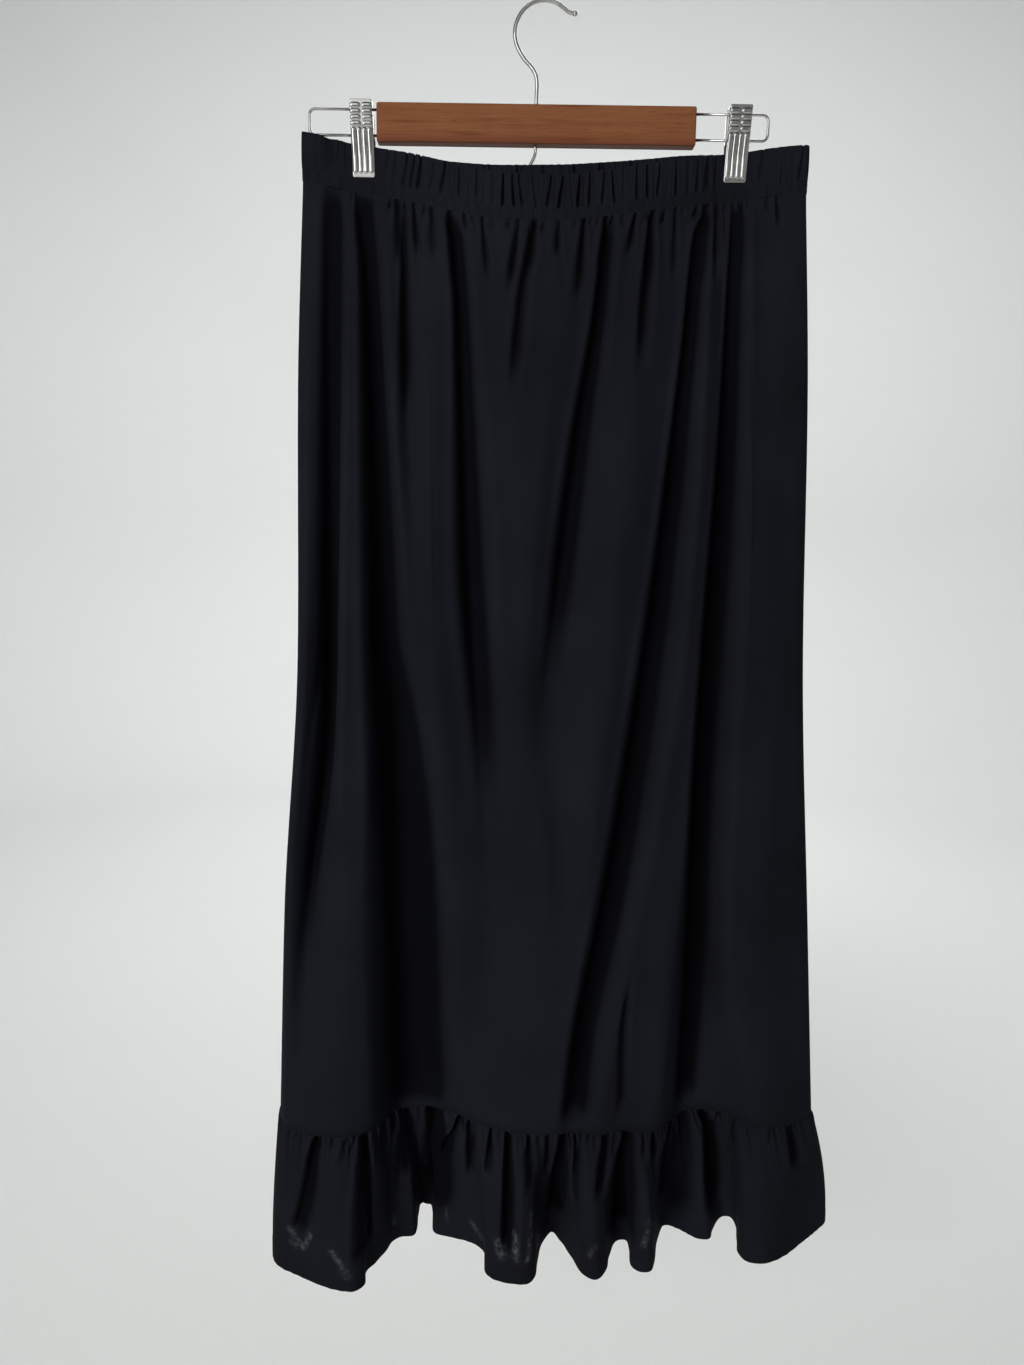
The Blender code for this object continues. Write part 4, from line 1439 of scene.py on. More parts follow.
@dataclass
class Waistband:
    """Elastic casing with a rolled top edge, uneven gathers and a ribbed seam along its lower edge."""

    edge: BandEdge
    height: float = 31.5 * MM
    seam_drop: float = 4.4 * MM
    half_thickness: float = 0.9 * MM
    columns: Halves[int] = Halves(900, 620)
    cloth: Halves[float] = Halves(500 * MM, 485 * MM)
    uprights: tuple[float, ...] = (
        -4.4, -3.8, -2.8, -1.6, -0.5, 0, 0.5, 1.6, 2.8, 3.6, 4.2, 4.8, 5.4, 6.4, 8.6, 11.5, 15, 18.5, 22,
        25, 27.6, 29.4, 30.6,
    )
    inner_uprights: tuple[float, ...] = (28, 25, 22, 15, 8, 1, -4.4)
    roll_angles: tuple[float, ...] = (36, 72, 108, 144)
    roll_follow: float = 0.9
    inner_follow: Halves[float] = Halves(0.8, 1.3)
    inner_gap: float = 0.3 * MM
    least_room: float = 0.1 * MM
    seam_top: float = 5.3 * MM
    seam_ease: float = 1.2 * MM
    seam_hold: float = 0.85
    ribs: Ripple = Ripple(0.34, 1.8, 1.1)
    rib_shade: float = 0.5
    groove_depth: float = 0.14 * MM
    groove_width: float = 0.4 * MM
    stitch_up: float = 3.9 * MM
    stitch_dent: float = 0.12 * MM
    stitch_width: float = 0.5 * MM
    stitch_sunk: float = 0.10 * MM
    wrinkles: tuple[Ripple, ...] = (Ripple(0.16, 3.7, 0.6), Ripple(0.22, 7.9, 2.0))
    top_wrinkles: Ripple = Ripple(0.12, 6.3, 3.0)
    top_start: float = 26 * MM
    top_ease: float = 4 * MM
    top_pull: float = 0.22
    top_sink: float = 2.5 * MM
    puff: float = 0.35 * MM
    puff_start: float = 6 * MM
    puff_length: float = 24 * MM
    dip: float = 2.3 * MM
    dip_x: float = 14 * MM
    dip_width: float = 62 * MM
    shaded_depth: float = 5.0 * MM
    gathers: tuple[Gather, ...] = (
        Gather(-184, 18, 10, 1.0, -0.9, 12), Gather(-163, 10, 0, 1.2, 0.9, 16),
        Gather(-159, 10, 1, 1.2, 1.2, 17),
        Gather(-153, 23, 0, 0.8, 1.2, 8), Gather(-125, 12, 1, 1.2, 1.2, 17), Gather(-124, 21, 5, 1.0, 3.1, 6),
        Gather(-116, 18, 3, 1.0, 1.6, 5), Gather(-108, 19, 4, 1.2, 3.1, 4), Gather(-102, 24, 4, 1.0, 3.1, 3),
        Gather(-96, 21, 3, 1.2, 4.4, 4), Gather(-87, 16, 4, 1.2, 1.6, 4), Gather(-78, 20, 4, 1.2, 3.1, 5),
        Gather(-68, 17, 2, 0.8, 0.9, 3), Gather(-63, 16, 0, 0.9, 2.1, 5), Gather(-54, 9, -2, 0.8, 0.9, 5),
        Gather(-49, 20, 0, 1.2, 1.6, 6), Gather(-44, 10, 0, 0.8, 0.6, 3), Gather(-36, 18, 0, 1.6, 0.5, 4),
        Gather(-29, 25, 0, 0.9, 4.4, 3), Gather(-20, 22, -2, 0.9, 4.4, 3), Gather(-13, 22, -4, 1.0, 3.1, 4),
        Gather(-9, 12, 0, 1.2, 0.7, 11), Gather(-2, 20, -4, 1.0, 1.6, 3), Gather(5, 22, 3, 1.1, 3.1, 4),
        Gather(14, 25, 3, 1.2, 4.4, 2), Gather(26, 21, -3, 1.2, 0.9, 2), Gather(29, 25, 1, 1.2, 4.4, 2),
        Gather(38, 26, 0, 1.1, 3.1, 2), Gather(48, 24, 1, 1.2, 2.6, 3), Gather(58, 23, -3, 1.0, 4.4, 3),
        Gather(64, 20, 0, 1.4, 1.2, 6), Gather(76, 22, -2, 1.4, 2.6, 2), Gather(84, 21, -2, 1.2, 3.7, 3),
        Gather(91, 20, 1, 1.2, 3.1, 4), Gather(98, 10, 0, 1.2, 0.6, 3), Gather(106, 20, -1, 1.1, 3.7, 3),
        Gather(116, 18, -1, 1.6, 1.2, 3), Gather(123, 17, 0, 1.3, 2.6, 4), Gather(131, 25, 0, 2.0, 3.1, 4),
        Gather(138, 25, 0, 1.6, 3.1, 4), Gather(143, 7, 1, 1.2, 2.1, 4), Gather(165, 5, 1, 1.2, 2.1, 3),
        Gather(172, 18, 2, 1.8, 2.1, 7), Gather(189, 11, 0, 1.2, 1.2, 3), Gather(194, 8, 2, 1.2, 0.9, 4),
        Gather(203, 22, 2, 1.2, 2.6, 3),
    )
    wide_crease: Crease = Crease(((-166, -102), (-165, -134)), 8.0, 2.4, lead=9.0, closing=0.6)
    back_gathers: UnseenGathers = UnseenGathers(
        -178, 203, pitch=Swing(8.1, 3.24, 2.9, 0.7), reach=Swing(23), slant=Swing(0, 2.6, 1.7, 0.4),
        width=Swing(1.1, 0.25, 3.1), depth=Swing(1.9, 1.5, 2.3, 1.1), start=5)

    def gathers_of(self, face: Face) -> list[Crease]:
        """The gathers of one half.

        Args:
            face: Front or back half.

        Returns:
            Creases that begin above the rolled edge and end at the seam.
        """
        gathers, shape = self.back_gathers, {"lead": 7.0, "closing": 0.22}
        if face is Face.FRONT:
            gathers, shape = self.gathers, {"lead": 9.0, "closing": 0.25}
        made = [gather.rising(self.edge.level(face, gather.x), **shape) for gather in gathers]
        return [*made, self.wide_crease] if face is Face.FRONT else made

    def profile(self, face: Face) -> list[tuple[float, float, float]]:
        """Closed section of the band, from its lower outer edge over the rolled top to its inside.

        Args:
            face: Front or back half.

        Returns:
            How far out and up each point lies, and how much it follows the gathers.
        """
        half = self.half_thickness
        inner = self.inner_follow.of(face)
        section = [(half, up * MM, 1.0) for up in self.uprights]
        for angle in np.radians(self.roll_angles).tolist():
            section.append((half * math.cos(angle), self.height - half + half * math.sin(angle),
                            self.roll_follow))
        section.append((-half, self.height - half, inner))
        section += [(-half, up * MM, inner) for up in self.inner_uprights]
        return [*section, section[0]]

    def build(self, face: Face, finishes: Finishes) -> bpy.types.Object:
        """Builds one half of the band.

        Args:
            face: Front or back half.
            finishes: The materials.

        Returns:
            The half.
        """
        line = self.edge.line(face, np.linspace(0.0, 1.0, self.columns.of(face) + 1))
        x = line[:, 0]
        outward = left_normals(line) * face.value
        low = self.edge.height(face, x)
        along = lengths_along(line)
        free = self.edge.free_of_jaws(x)
        room = self.edge.room(x) - 2 * self.half_thickness - self.inner_gap
        room = np.maximum(room, self.least_room) / 2
        creases = self.gathers_of(face)
        wrinkles = sum(ripple.rise(along) for ripple in self.wrinkles) * free
        top_dip = self.dip / self.height * bell((x - self.dip_x) / self.dip_width) * (face is Face.FRONT)
        rows, cuts, painted_shades = [], [], []
        travelled = 0.0
        profile = self.profile(face)
        for (offset, up, follow), (offset_before, up_before, _) in zip(profile, [profile[0], *profile]):
            in_seam = float(eased((self.seam_top - up) / self.seam_ease))
            wanted = total_sink(creases, x, low + up) * free * (1 - self.seam_hold * in_seam)
            sink = limited(wanted, room)
            dents = self.groove_depth * bell(up / self.groove_width)
            dents += self.stitch_dent * bell((abs(up) - self.stitch_up) / self.stitch_width)
            relief = wrinkles * (1 - in_seam)
            relief = relief + (self.ribs.rise(along) - dents) * in_seam * (offset > 0)
            puffed = min(max((up - self.puff_start) / self.puff_length, 0.0), 1.0)
            puff = self.puff * math.sin(math.pi * puffed) * free * np.sign(offset)
            flat = line + outward * (offset + (relief - sink) * follow + puff)[:, None]
            pulled = self.top_pull * np.clip(sink, -1.0, self.top_sink)
            z = low + up - top_dip * up - pulled * eased((up - self.top_start) / self.top_ease)
            z = z + self.top_wrinkles.rise(along) * (up > self.top_start)
            rows.append(np.column_stack([flat, z]))
            travelled += math.hypot(offset - offset_before, up - up_before)
            cuts.append(np.column_stack([along, np.full_like(along, travelled)]))
            # Painted shade: the band's colour darkens in its gathers by their wanted depth, and between the ribs of
            # its seam.
            painted_rib_shade = self.rib_shade * in_seam * eased(-self.ribs.swing(along))
            painted_shades.append(np.maximum(eased(wanted / self.shaded_depth), painted_rib_shade) * (offset > 0))
        bm = sheet_mesh(np.stack(rows), np.stack(cuts), np.stack(painted_shades))
        bmesh.ops.remove_doubles(bm, verts=bm.verts, dist=1e-7)
        bmesh.ops.holes_fill(bm, edges=[edge for edge in bm.edges if edge.is_boundary], sides=0)
        name = face.name.lower()
        band = finished(f"gathered_band_{name}", bm, finishes.jersey, closed=True)
        return ride_root(band, "jersey", f"waistband_{name}")

    def seam_point(self, face: Face, fractions: np.ndarray, up: float) -> tuple[np.ndarray, np.ndarray]:
        """Places on the band's outside, for the rows of stitches.

        Args:
            face: Front or back half.
            fractions: Shares of the band's length.
            up: Height above its lower edge.

        Returns:
            The points, and the way out of the cloth at each.
        """
        line = self.edge.line(face, fractions)
        outward = left_normals(line) * face.value
        flat = line + outward * (self.half_thickness - self.stitch_sunk)
        z = self.edge.height(face, line[:, 0]) + up
        return np.column_stack([flat, z]), np.column_stack([outward, np.zeros(len(line))])


@dataclass
class Body:
    """Front and back panel of the skirt, hanging in long folds below fine puckers at the waist."""

    edge: BandEdge
    folds: Folds
    seam_z: float = -917 * MM
    start: float = 3.5 * MM
    thickness: float = 0.6 * MM
    columns: Halves[int] = Halves(455, 400)
    cloth: Halves[float] = Halves(680 * MM, 550 * MM)
    cloth_area: Halves[float] = Halves(0.50, 0.375)
    cloth_length: float = 790 * MM
    usual_length: float = 780 * MM
    near_rows: tuple[float, ...] = (
        0, 1, 2.2, 3.6, 5.2, 7, 9, 11.2, 13.6, 16.2, 19, 22, 25.2, 28.6, 32.2, 36, 40, 44.5, 49.5, 55, 61,
        68, 76, 85,
    )
    far_rows: int = 68
    behind_steps: int = 6
    inner_share: Halves[float] = Halves(0.78, 0.18)
    wall_gap: float = 1.2 * MM
    least_room: float = 0.05 * MM
    jaw_hold: float = 0.4
    jaw_length: float = 20 * MM
    sink_start: float = 1.5 * MM
    sink_end: float = 24 * MM
    proud: float = 0.55 * MM
    proud_length: float = 10 * MM
    calm_top: float = 60 * MM
    calm_foot: float = 50 * MM
    side_ease: float = 25 * MM
    shaded_depth: float = 8 * MM
    shade_start: float = 4 * MM
    slow_waves: tuple[SlowWave, ...] = (
        SlowWave(47, 610, 0.40, 0.3), SlowWave(31, -430, 0.26, 1.9),
        SlowWave(83, 290, 0.42, 4.1), SlowWave(19, 740, 0.13, 2.6),
    )
    puckers: tuple[Gather, ...] = (
        Gather(-148, 17, -2, 2.1, 2.2), Gather(-144, 57, 6, 3.6, 5.3), Gather(-133, 11, 3, 1.6, 3.1),
        Gather(-126, 25, 0, 2.1, 2.2), Gather(-118, 9, 0, 1.3, 5.3), Gather(-112, 58, 5, 3.6, 7.9),
        Gather(-106, 8, 0, 1.3, 3.1), Gather(-99, 45, 5, 2.1, 5.3), Gather(-90, 9, -1, 1.6, 3.1),
        Gather(-86, 7, 0, 1.0, 1.4), Gather(-84, 45, 2, 3.1, 4.1), Gather(-80, 6, 0, 1.0, 1.4),
        Gather(-70, 68, 5, 3.6, 6.5), Gather(-59, 17, 3, 2.1, 5.3), Gather(-52, 6, 0, 1.6, 2.2),
        Gather(-45, 55, 7, 2.3, 5.3), Gather(-36, 10, 0, 3.1, 1.4), Gather(-25, 7, 1, 1.6, 5.3),
        Gather(-17, 59, -7, 2.6, 7.9), Gather(-4, 44, -4, 3.1, 7.9), Gather(3, 10, -2, 1.6, 5.3),
        Gather(14, 30, 0, 2.1, 7.9), Gather(27, 6, 0, 1.3, 3.1), Gather(34, 67, -3, 3.1, 7.9),
        Gather(39, 6, -1, 1.6, 3.1), Gather(45, 5, 0, 1.3, 2.2), Gather(51, 53, -3, 3.1, 7.9),
        Gather(56, 10, -2, 2.1, 4.1), Gather(64, 11, 1, 2.1, 2.2), Gather(74, 35, -5, 2.3, 6.5),
        Gather(83, 8, 0, 2.1, 2.2), Gather(88, 66, -2, 3.1, 7.9), Gather(97, 12, -2, 1.6, 5.3),
        Gather(106, 60, 1, 2.3, 5.3), Gather(112, 5, 0, 1.3, 2.2), Gather(123, 11, -1, 2.1, 4.1),
        Gather(131, 72, -3, 4.2, 7.9), Gather(140, 65, 0, 3.1, 6.5), Gather(147, 6, 0, 1.6, 3.1),
        Gather(152, 19, 4, 2.1, 5.3), Gather(159, 59, 0, 3.1, 7.9), Gather(164, 5, 0, 1.6, 2.2),
        Gather(179, 11, 2, 2.6, 2.2), Gather(186, 25, 4, 1.8, 5.3),
    )
    pucker_start: float = 5.0
    back_puckers: UnseenGathers = UnseenGathers(
        -172, 200, pitch=Swing(8.4, 3.36, 2.5, 0.7), reach=Swing(32, 10, 4.2, 1 - math.pi / 2),
        slant=Swing(0, 2.5, 1.9), width=Swing(1.7, 0.6, 2.7), depth=Swing(1.5, 1, 1.3, 2))
    main_folds: tuple[LongFold, ...] = (
        LongFold(((-163, -126), (-168, -340), (-173, -562), (-188, -704), (-203, -853)), 6.4, 14.0,
                 opening=40.0, closing=0.4, lean=0.2, mouth=1.0),
        LongFold(((-140, -139), (-136, -188), (-131, -311), (-124, -542), (-118, -743)), 10.0, 17.0),
        LongFold(((-114, -475), (-109, -592), (-105, -780), (-101, -913)), 21.0, 20.0,
                 opening=110.0, closing=0.02),
        LongFold(((-107, -149), (-106, -243), (-104, -331)), 3.8, 7.0, opening=10.0),
        LongFold(((-72, -157), (-65, -182), (-58, -311), (-53, -426), (-42, -557), (-30, -690)), 9.0, 14.0,
                 closing=0.45),
        LongFold(((-5, -160), (-14, -221), (-20, -300)), 4.0, 7.0, opening=10.0),
        LongFold(((54, -159), (47, -232), (35, -321), (25, -413), (14, -523), (9, -575)), 7.6, 13.0,
                 opening=20.0, closing=0.45),
        LongFold(((86, -153), (82, -241), (81, -283)), 4.0, 7.0, opening=10.0),
        LongFold(((133, -150), (125, -174), (120, -254), (107, -411), (91, -554), (69, -709), (46, -837),
                  (40, -907)), 9.0, 17.0, closing=0.015),
        LongFold(((156, -145), (154, -331), (148, -504), (145, -620), (146, -746), (142, -909)), 8.6, 17.0,
                 closing=0.015),
        LongFold(((86, -776), (82, -831), (83, -898)), 3.6, 6.0, opening=25.0, closing=0.06),
    )
    long_creases: tuple[Crease, ...] = (
        Crease(((-175, -412), (-177, -494), (-183, -544), (-198, -630)), 2.2, 2.2),
        Crease(((-90, -202), (-86, -301), (-81, -558)), 1.3, -1.0),
        Crease(((163, -174), (169, -296), (174, -399), (175, -573)), 1.3, -0.9),
        Crease(((-94, -827), (-87, -890)), 2.6, 2.4, opening=14.0),
        Crease(((-118, -850), (-109, -883)), 2.2, 1.8, opening=10.0),
        Crease(((87, -774), (81, -823), (80, -881)), 3.2, 1.6, opening=25.0),
        Crease(((-17, -177), (-24, -217)), 2.0, 1.4),
        Crease(((15, -179), (21, -224)), 2.0, 1.1),
    )
    back_folds: tuple[LongFold, ...] = (
        LongFold(((152, -142), (160, -300), (168, -480), (178, -640), (190, -800)), 6.4, 9.0,
                 opening=12.0, mouth=0.8),
        LongFold(((116, -144), (112, -300), (108, -480), (105, -700)), 9.0, 10.0),
        LongFold(((92, -500), (88, -650), (84, -800), (84, -913)), 17.0, 12.0, opening=110.0, closing=0.06),
        LongFold(((60, -150), (54, -260), (50, -400), (42, -560)), 7.5, 9.0),
        LongFold(((8, -150), (3, -240), (0, -330)), 4.0, 5.0, opening=10.0, closing=0.4),
        LongFold(((-44, -150), (-38, -280), (-30, -420), (-20, -560)), 7.5, 9.0),
        LongFold(((-86, -146), (-84, -210), (-82, -280)), 4.0, 5.0, opening=10.0, closing=0.4),
        LongFold(((-122, -140), (-114, -280), (-102, -430), (-86, -600), (-60, -905)), 9.0, 12.0,
                 closing=0.06),
        LongFold(((-160, -136), (-158, -300), (-153, -480), (-148, -905)), 7.5, 11.0, closing=0.06),
        LongFold(((24, -800), (20, -850), (18, -900)), 3.6, 5.0, opening=25.0, closing=0.06),
    )
    back_creases: tuple[Crease, ...] = (
        Crease(((-150, -150), (-146, -300), (-158, -520), (-170, -760)), 2.2, 2.0, opening=16.0),
        Crease(((-60, -160), (-52, -330), (-48, -560)), 1.6, -1.1, opening=16.0),
        Crease(((40, -160), (44, -360), (52, -640)), 2.0, 1.6, opening=16.0),
        Crease(((140, -150), (146, -330), (158, -600)), 1.5, -1.0, opening=16.0),
        Crease(((-20, -800), (-26, -905)), 2.6, 2.0, opening=16.0),
        Crease(((100, -780), (108, -905)), 2.4, 1.7, opening=16.0),
    )

    def creases_of(self, face: Face) -> list[Crease]:
        """The puckers and thin creases of one panel.

        Args:
            face: Front or back panel.

        Returns:
            All its creases.
        """
        puckers, shape = self.back_puckers, {}
        if face is Face.FRONT:
            puckers, shape = self.puckers, {"lead": 2.5, "opening": 2.5}
        made = [pucker.hanging(self.edge.level(face, pucker.x) - self.pucker_start, **shape)
                for pucker in puckers]
        if face is Face.FRONT:
            return [*self.main_folds, *made, *self.long_creases]
        return [*self.back_folds, *self.back_creases, *made]

    def build(self, face: Face, finishes: Finishes) -> bpy.types.Object:
        """Builds one panel.

        Args:
            face: Front or back panel.
            finishes: The materials.

        Returns:
            The panel.
        """
        steps = self.folds.steps(face, self.columns.of(face))
        top = flowing_curve(self.folds.points(face, 0.0), steps)
        edge_z = self.edge.height(face, top[:, 0])
        near = (np.array(self.near_rows) * MM + self.start) / self.usual_length
        levels = np.concatenate([near, np.linspace(near[-1], 1.0, self.far_rows + 1)[1:]])
        creases = self.creases_of(face)
        width = lengths_along(flowing_curve(self.folds.points(face, 0.5), steps))
        rows, cuts, painted_shades = [], [], []
        for level in levels.tolist():
            section = flowing_curve(self.folds.points(face, level), steps)
            x, y = section.T
            z = edge_z + (self.seam_z - edge_z) * level
            below, above = edge_z - self.start - z, z - self.seam_z
            wanted = total_sink(creases, x, z)
            behind = flowing_curve(self.folds.points(face.other, level), self.behind_steps)
            gap = np.abs(np.interp(x, behind[:, 0], behind[:, 1]) - y)
            room = np.maximum(gap * self.inner_share.of(face) - self.wall_gap, self.least_room)
            held = (1 - self.edge.free_of_jaws(x)) * self.jaw_hold * (1 - eased(below / self.jaw_length))
            sink = limited(wanted, room) * (1 - held)
            sink = sink * eased(below / self.sink_start) * eased(above / self.sink_end)
            proud = self.proud * (1 - eased(below / self.proud_length))
            sway = sum(wave.sink(x, z) for wave in self.slow_waves)
            sway = sway * eased(below / self.calm_top) * eased(above / self.calm_foot)
            aside = eased(np.minimum(x - x.min(), x.max() - x) / self.side_ease)
            rows.append(np.column_stack([x, y + face.value * (proud + (sway - sink) * aside), z]))
            cuts.append(np.column_stack([width, edge_z - z]))
            # Painted shade: the panel's colour darkens in its folds by their wanted depth, also where the cloth itself
            # sinks less.
            painted_shades.append(eased(wanted / self.shaded_depth) * eased(below / self.shade_start))
        bm = sheet_mesh(np.stack(rows), np.stack(cuts), np.stack(painted_shades))
        name = face.name.lower()
        panel = ride_root(finished(f"body_panel_{name}", bm, finishes.jersey), "jersey", f"panel_{name}")
        thicken(panel, self.thickness)
        return panel


@dataclass
class Ruffle:
    """Gathered strip below the body, whose fine gathers open into the waves of the hem.

    The hem's lines are x and y. Each tie is a place on the front's seam, with the row of its hem's line
    that hangs below.
    """

    folds: Folds
    seam_z: float = -917 * MM
    seam_gap: float = 0.4 * MM
    length: float = 136 * MM
    swing: float = 1.8
    thickness: float = 0.55 * MM
    columns: Halves[int] = Halves(640, 420)
    cloth: Halves[float] = Halves(980 * MM, 655 * MM)
    downs: tuple[float, ...] = (
        0, 1, 2, 3.2, 4.6, 6.2, 8, 10, 12.2, 14.6, 17.2, 20, 23, 26.4, 30, 34, 38.4, 43.2, 48.4, 54, 60, 66,
        72, 77, *range(80, 120, 3), 121, 122, 123.2, 124.6, 126, 127.2, 129, 131, 133, 134.6, 136,
    )
    stitch_ups: tuple[float, ...] = (10.0 * MM, 14.0 * MM)
    stitch_width: float = 0.8 * MM
    hem_height: float = 14.6 * MM
    hem_ease: float = 1.2 * MM
    hem_raised: float = 0.22 * MM
    gathering: Ripple = Ripple(1.15, 5.3, 0.9)
    gathering_end: float = 7
    flutes: Ripple = Ripple(1.0, 11.7, 2.2)
    flutes_end: float = 2.5
    rim: Ripple = Ripple(0.25, 9.1, 1.4)
    rim_start: float = 8
    dip_shade: float = 5.0
    dip_start: float = 3 * MM
    shaded_depth: float = 8.5 * MM
    puff: float = 0.8 * MM
    puff_start: float = 9 * MM
    seam_ease: float = 2.5 * MM
    side_ease: float = 0.025
    wall_gap: float = 3.5 * MM
    front_hem: tuple[Pair, ...] = (
        (-230, 12), (-229, -10), (-221, -38), (-196, -54), (-162, -70), (-145, -72), (-138, -63), (-139, -48),
        (-132, -36), (-125, -22), (-119, -8), (-112, -3), (-101, -1), (-99, 8), (-99, 24), (-98, 35),
        (-92, 37), (-87, 34), (-84, 20), (-82, 4), (-67, -2), (-48, -9), (-36, -19), (-33, -30),
        (-33, -46), (-26, -55), (-11, -60), (4, -60), (11, -50), (13, -34), (18, -14), (27, -3),
        (35, -11), (45, -28), (54, -47), (64, -54), (73, -45), (78, -28), (83, -14), (88, -9),
        (96, -9), (98, -18), (98, -36), (105, -43), (114, -43), (118, -34), (123, -13), (131, 6),
        (137, 9), (149, 7), (165, -1), (174, -1), (178, 8), (185, 20), (192, 25), (199, 23),
        (202, 12), (200, -2), (198, -17), (203, -28), (217, -32), (235, -25), (259, -6), (277, 10),
        (289, 24),
    )
    ties: tuple[tuple[float, int], ...] = (
        (-190, 3), (-150, 5), (-113, 12), (-97, 16), (-82, 19), (-56, 21), (-40, 24), (-2, 27),
        (19, 31), (52, 35), (77, 39), (95, 43), (118, 47), (147, 50), (171, 54), (197, 60),
        (236, 62),
    )
    back_hem: tuple[Pair, ...] = (
        (-230, 12), (-228, 34), (-214, 52), (-196, 60), (-176, 47), (-150, 42), (-130, 58), (-108, 55),
        (-92, 43), (-66, 46), (-46, 61), (-24, 56), (-8, 43), (16, 45), (36, 60), (58, 57),
        (76, 44), (100, 43), (120, 59), (142, 56), (160, 44), (184, 43), (204, 57), (228, 54),
        (250, 42), (276, 40), (289, 24),
    )
    gathers: tuple[Gather, ...] = (
        Gather(-196, 7, -1, 1.4, 3.3), Gather(-189, 8, 0, 1.8, 1.4), Gather(-179, 37, -10, 2.3, 4.1),
        Gather(-174, 17, -4, 2.0, 3.3), Gather(-165, 11, 1, 1.6, 3.3), Gather(-152, 30, -8, 2.3, 2.5),
        Gather(-146, 19, -5, 1.8, 4.1), Gather(-138, 51, -1, 3.2, 4.9), Gather(-131, 16, 2, 1.8, 2.5),
        Gather(-125, 42, -1, 3.2, 4.9), Gather(-118, 28, 2, 2.3, 4.1), Gather(-111, 92, -4, 2.7, 5.8),
        Gather(-101, 37, -2, 1.8, 2.5), Gather(-87, 72, 1, 4.1, 4.9), Gather(-73, 27, -2, 1.8, 3.3),
        Gather(-58, 80, -20, 2.7, 4.9), Gather(-48, 8, -2, 1.4, 2.0), Gather(-42, 54, -6, 2.0, 3.3),
        Gather(-29, 38, 0, 2.0, 4.9), Gather(-22, 6, -1, 1.4, 1.4), Gather(-16, 65, 0, 2.3, 5.8),
        Gather(-9, 14, -4, 1.6, 3.3), Gather(-4, 10, -1, 1.4, 2.0), Gather(3, 32, -2, 2.0, 4.1),
        Gather(11, 12, 1, 1.4, 2.5), Gather(20, 68, 1, 2.3, 5.8), Gather(33, 74, 1, 3.6, 4.9),
        Gather(38, 27, 4, 2.0, 3.3), Gather(49, 48, -2, 2.3, 4.9), Gather(55, 10, 0, 1.4, 3.3),
        Gather(61, 7, -1, 1.4, 1.4), Gather(68, 7, 1, 1.4, 2.0), Gather(73, 68, -6, 2.7, 4.9),
        Gather(87, 79, 0, 4.5, 4.9), Gather(103, 35, 1, 1.8, 4.1), Gather(107, 7, 0, 1.1, 1.4),
        Gather(112, 53, 3, 2.3, 4.1), Gather(123, 9, 3, 1.8, 3.3), Gather(134, 63, 6, 2.7, 4.9),
        Gather(151, 26, 12, 1.8, 4.9), Gather(161, 27, 9, 1.8, 4.1), Gather(175, 72, -2, 3.6, 4.9),
        Gather(180, 7, -1, 1.1, 2.0), Gather(188, 46, 1, 2.3, 4.1), Gather(194, 11, 0, 1.8, 1.4),
        Gather(202, 7, 0, 1.4, 1.4), Gather(216, 18, 0, 2.0, 3.3), Gather(221, 7, 0, 1.1, 1.4),
        Gather(236, 62, 16, 2.3, 3.3),
    )
    back_gathers: UnseenGathers = UnseenGathers(
        -206, 246, pitch=Swing(9.6, 3.84, 2.7, 0.7), reach=Swing(37, 17, 3.8, 1.6 - math.pi / 2),
        slant=Swing(0, 4, 2.3, 1), width=Swing(2.1, 0.7, 2.9), depth=Swing(3, 1.8, 1.1, 2.4))
    main_folds: tuple[RuffleFold, ...] = (
        RuffleFold(((-178, -917), (-188, -974), (-198, -1015)), 6.6, 9.0),
        RuffleFold(((-140, -917), (-140, -968), (-141, -1031)), 5.5, 10.5),
        RuffleFold(((-107, -917), (-107, -989)), 5.0, 9.0),
        RuffleFold(((-82, -917), (-80, -938), (-80, -1040)), 11.5, 18.0, closing=0.3),
        RuffleFold(((-56, -917), (-67, -952), (-75, -981)), 4.4, 9.0),
        RuffleFold(((-49, -917), (-47, -981)), 3.9, 7.5),
        RuffleFold(((-29, -917), (-32, -961)), 3.3, 6.0),
        RuffleFold(((-15, -917), (-14, -966), (-15, -1029)), 4.6, 13.5),
        RuffleFold(((3, -917), (5, -970)), 3.3, 6.8),
        RuffleFold(((33, -917), (32, -965), (28, -1024)), 6.6, 16.5),
        RuffleFold(((44, -917), (47, -996)), 3.3, 6.8),
        RuffleFold(((69, -917), (67, -955), (65, -979)), 3.9, 7.5),
        RuffleFold(((90, -917), (89, -974), (88, -1033)), 8.2, 16.5),
        RuffleFold(((111, -917), (115, -949)), 2.9, 6.0),
        RuffleFold(((129, -917), (129, -949), (128, -1012)), 5.5, 10.5),
        RuffleFold(((142, -917), (143, -954), (143, -1050)), 12.5, 9.0, closing=0.3),
        RuffleFold(((159, -917), (169, -944), (180, -1040)), 8.2, 16.5, closing=0.3),
        RuffleFold(((233, -917), (245, -968)), 4.4, 6.8),
    )
    back_folds: tuple[RuffleFold, ...] = (
        RuffleFold(((-176, -917), (-180, -966), (-184, -1010)), 6.0, 9.0),
        RuffleFold(((-134, -917), (-132, -975)), 4.4, 7.0),
        RuffleFold(((-92, -917), (-95, -960), (-96, -1016)), 7.0, 11.0),
        RuffleFold(((-55, -917), (-53, -970)), 3.8, 6.0),
        RuffleFold(((-22, -917), (-24, -964), (-24, -1020)), 6.4, 11.0),
        RuffleFold(((24, -917), (27, -984)), 4.4, 7.5),
        RuffleFold(((62, -917), (62, -964), (64, -1018)), 7.0, 11.0),
        RuffleFold(((104, -917), (102, -970)), 3.8, 6.5),
        RuffleFold(((146, -917), (150, -960), (154, -1014)), 6.4, 10.0),
        RuffleFold(((196, -917), (204, -962), (210, -1006)), 6.0, 9.0),
    )
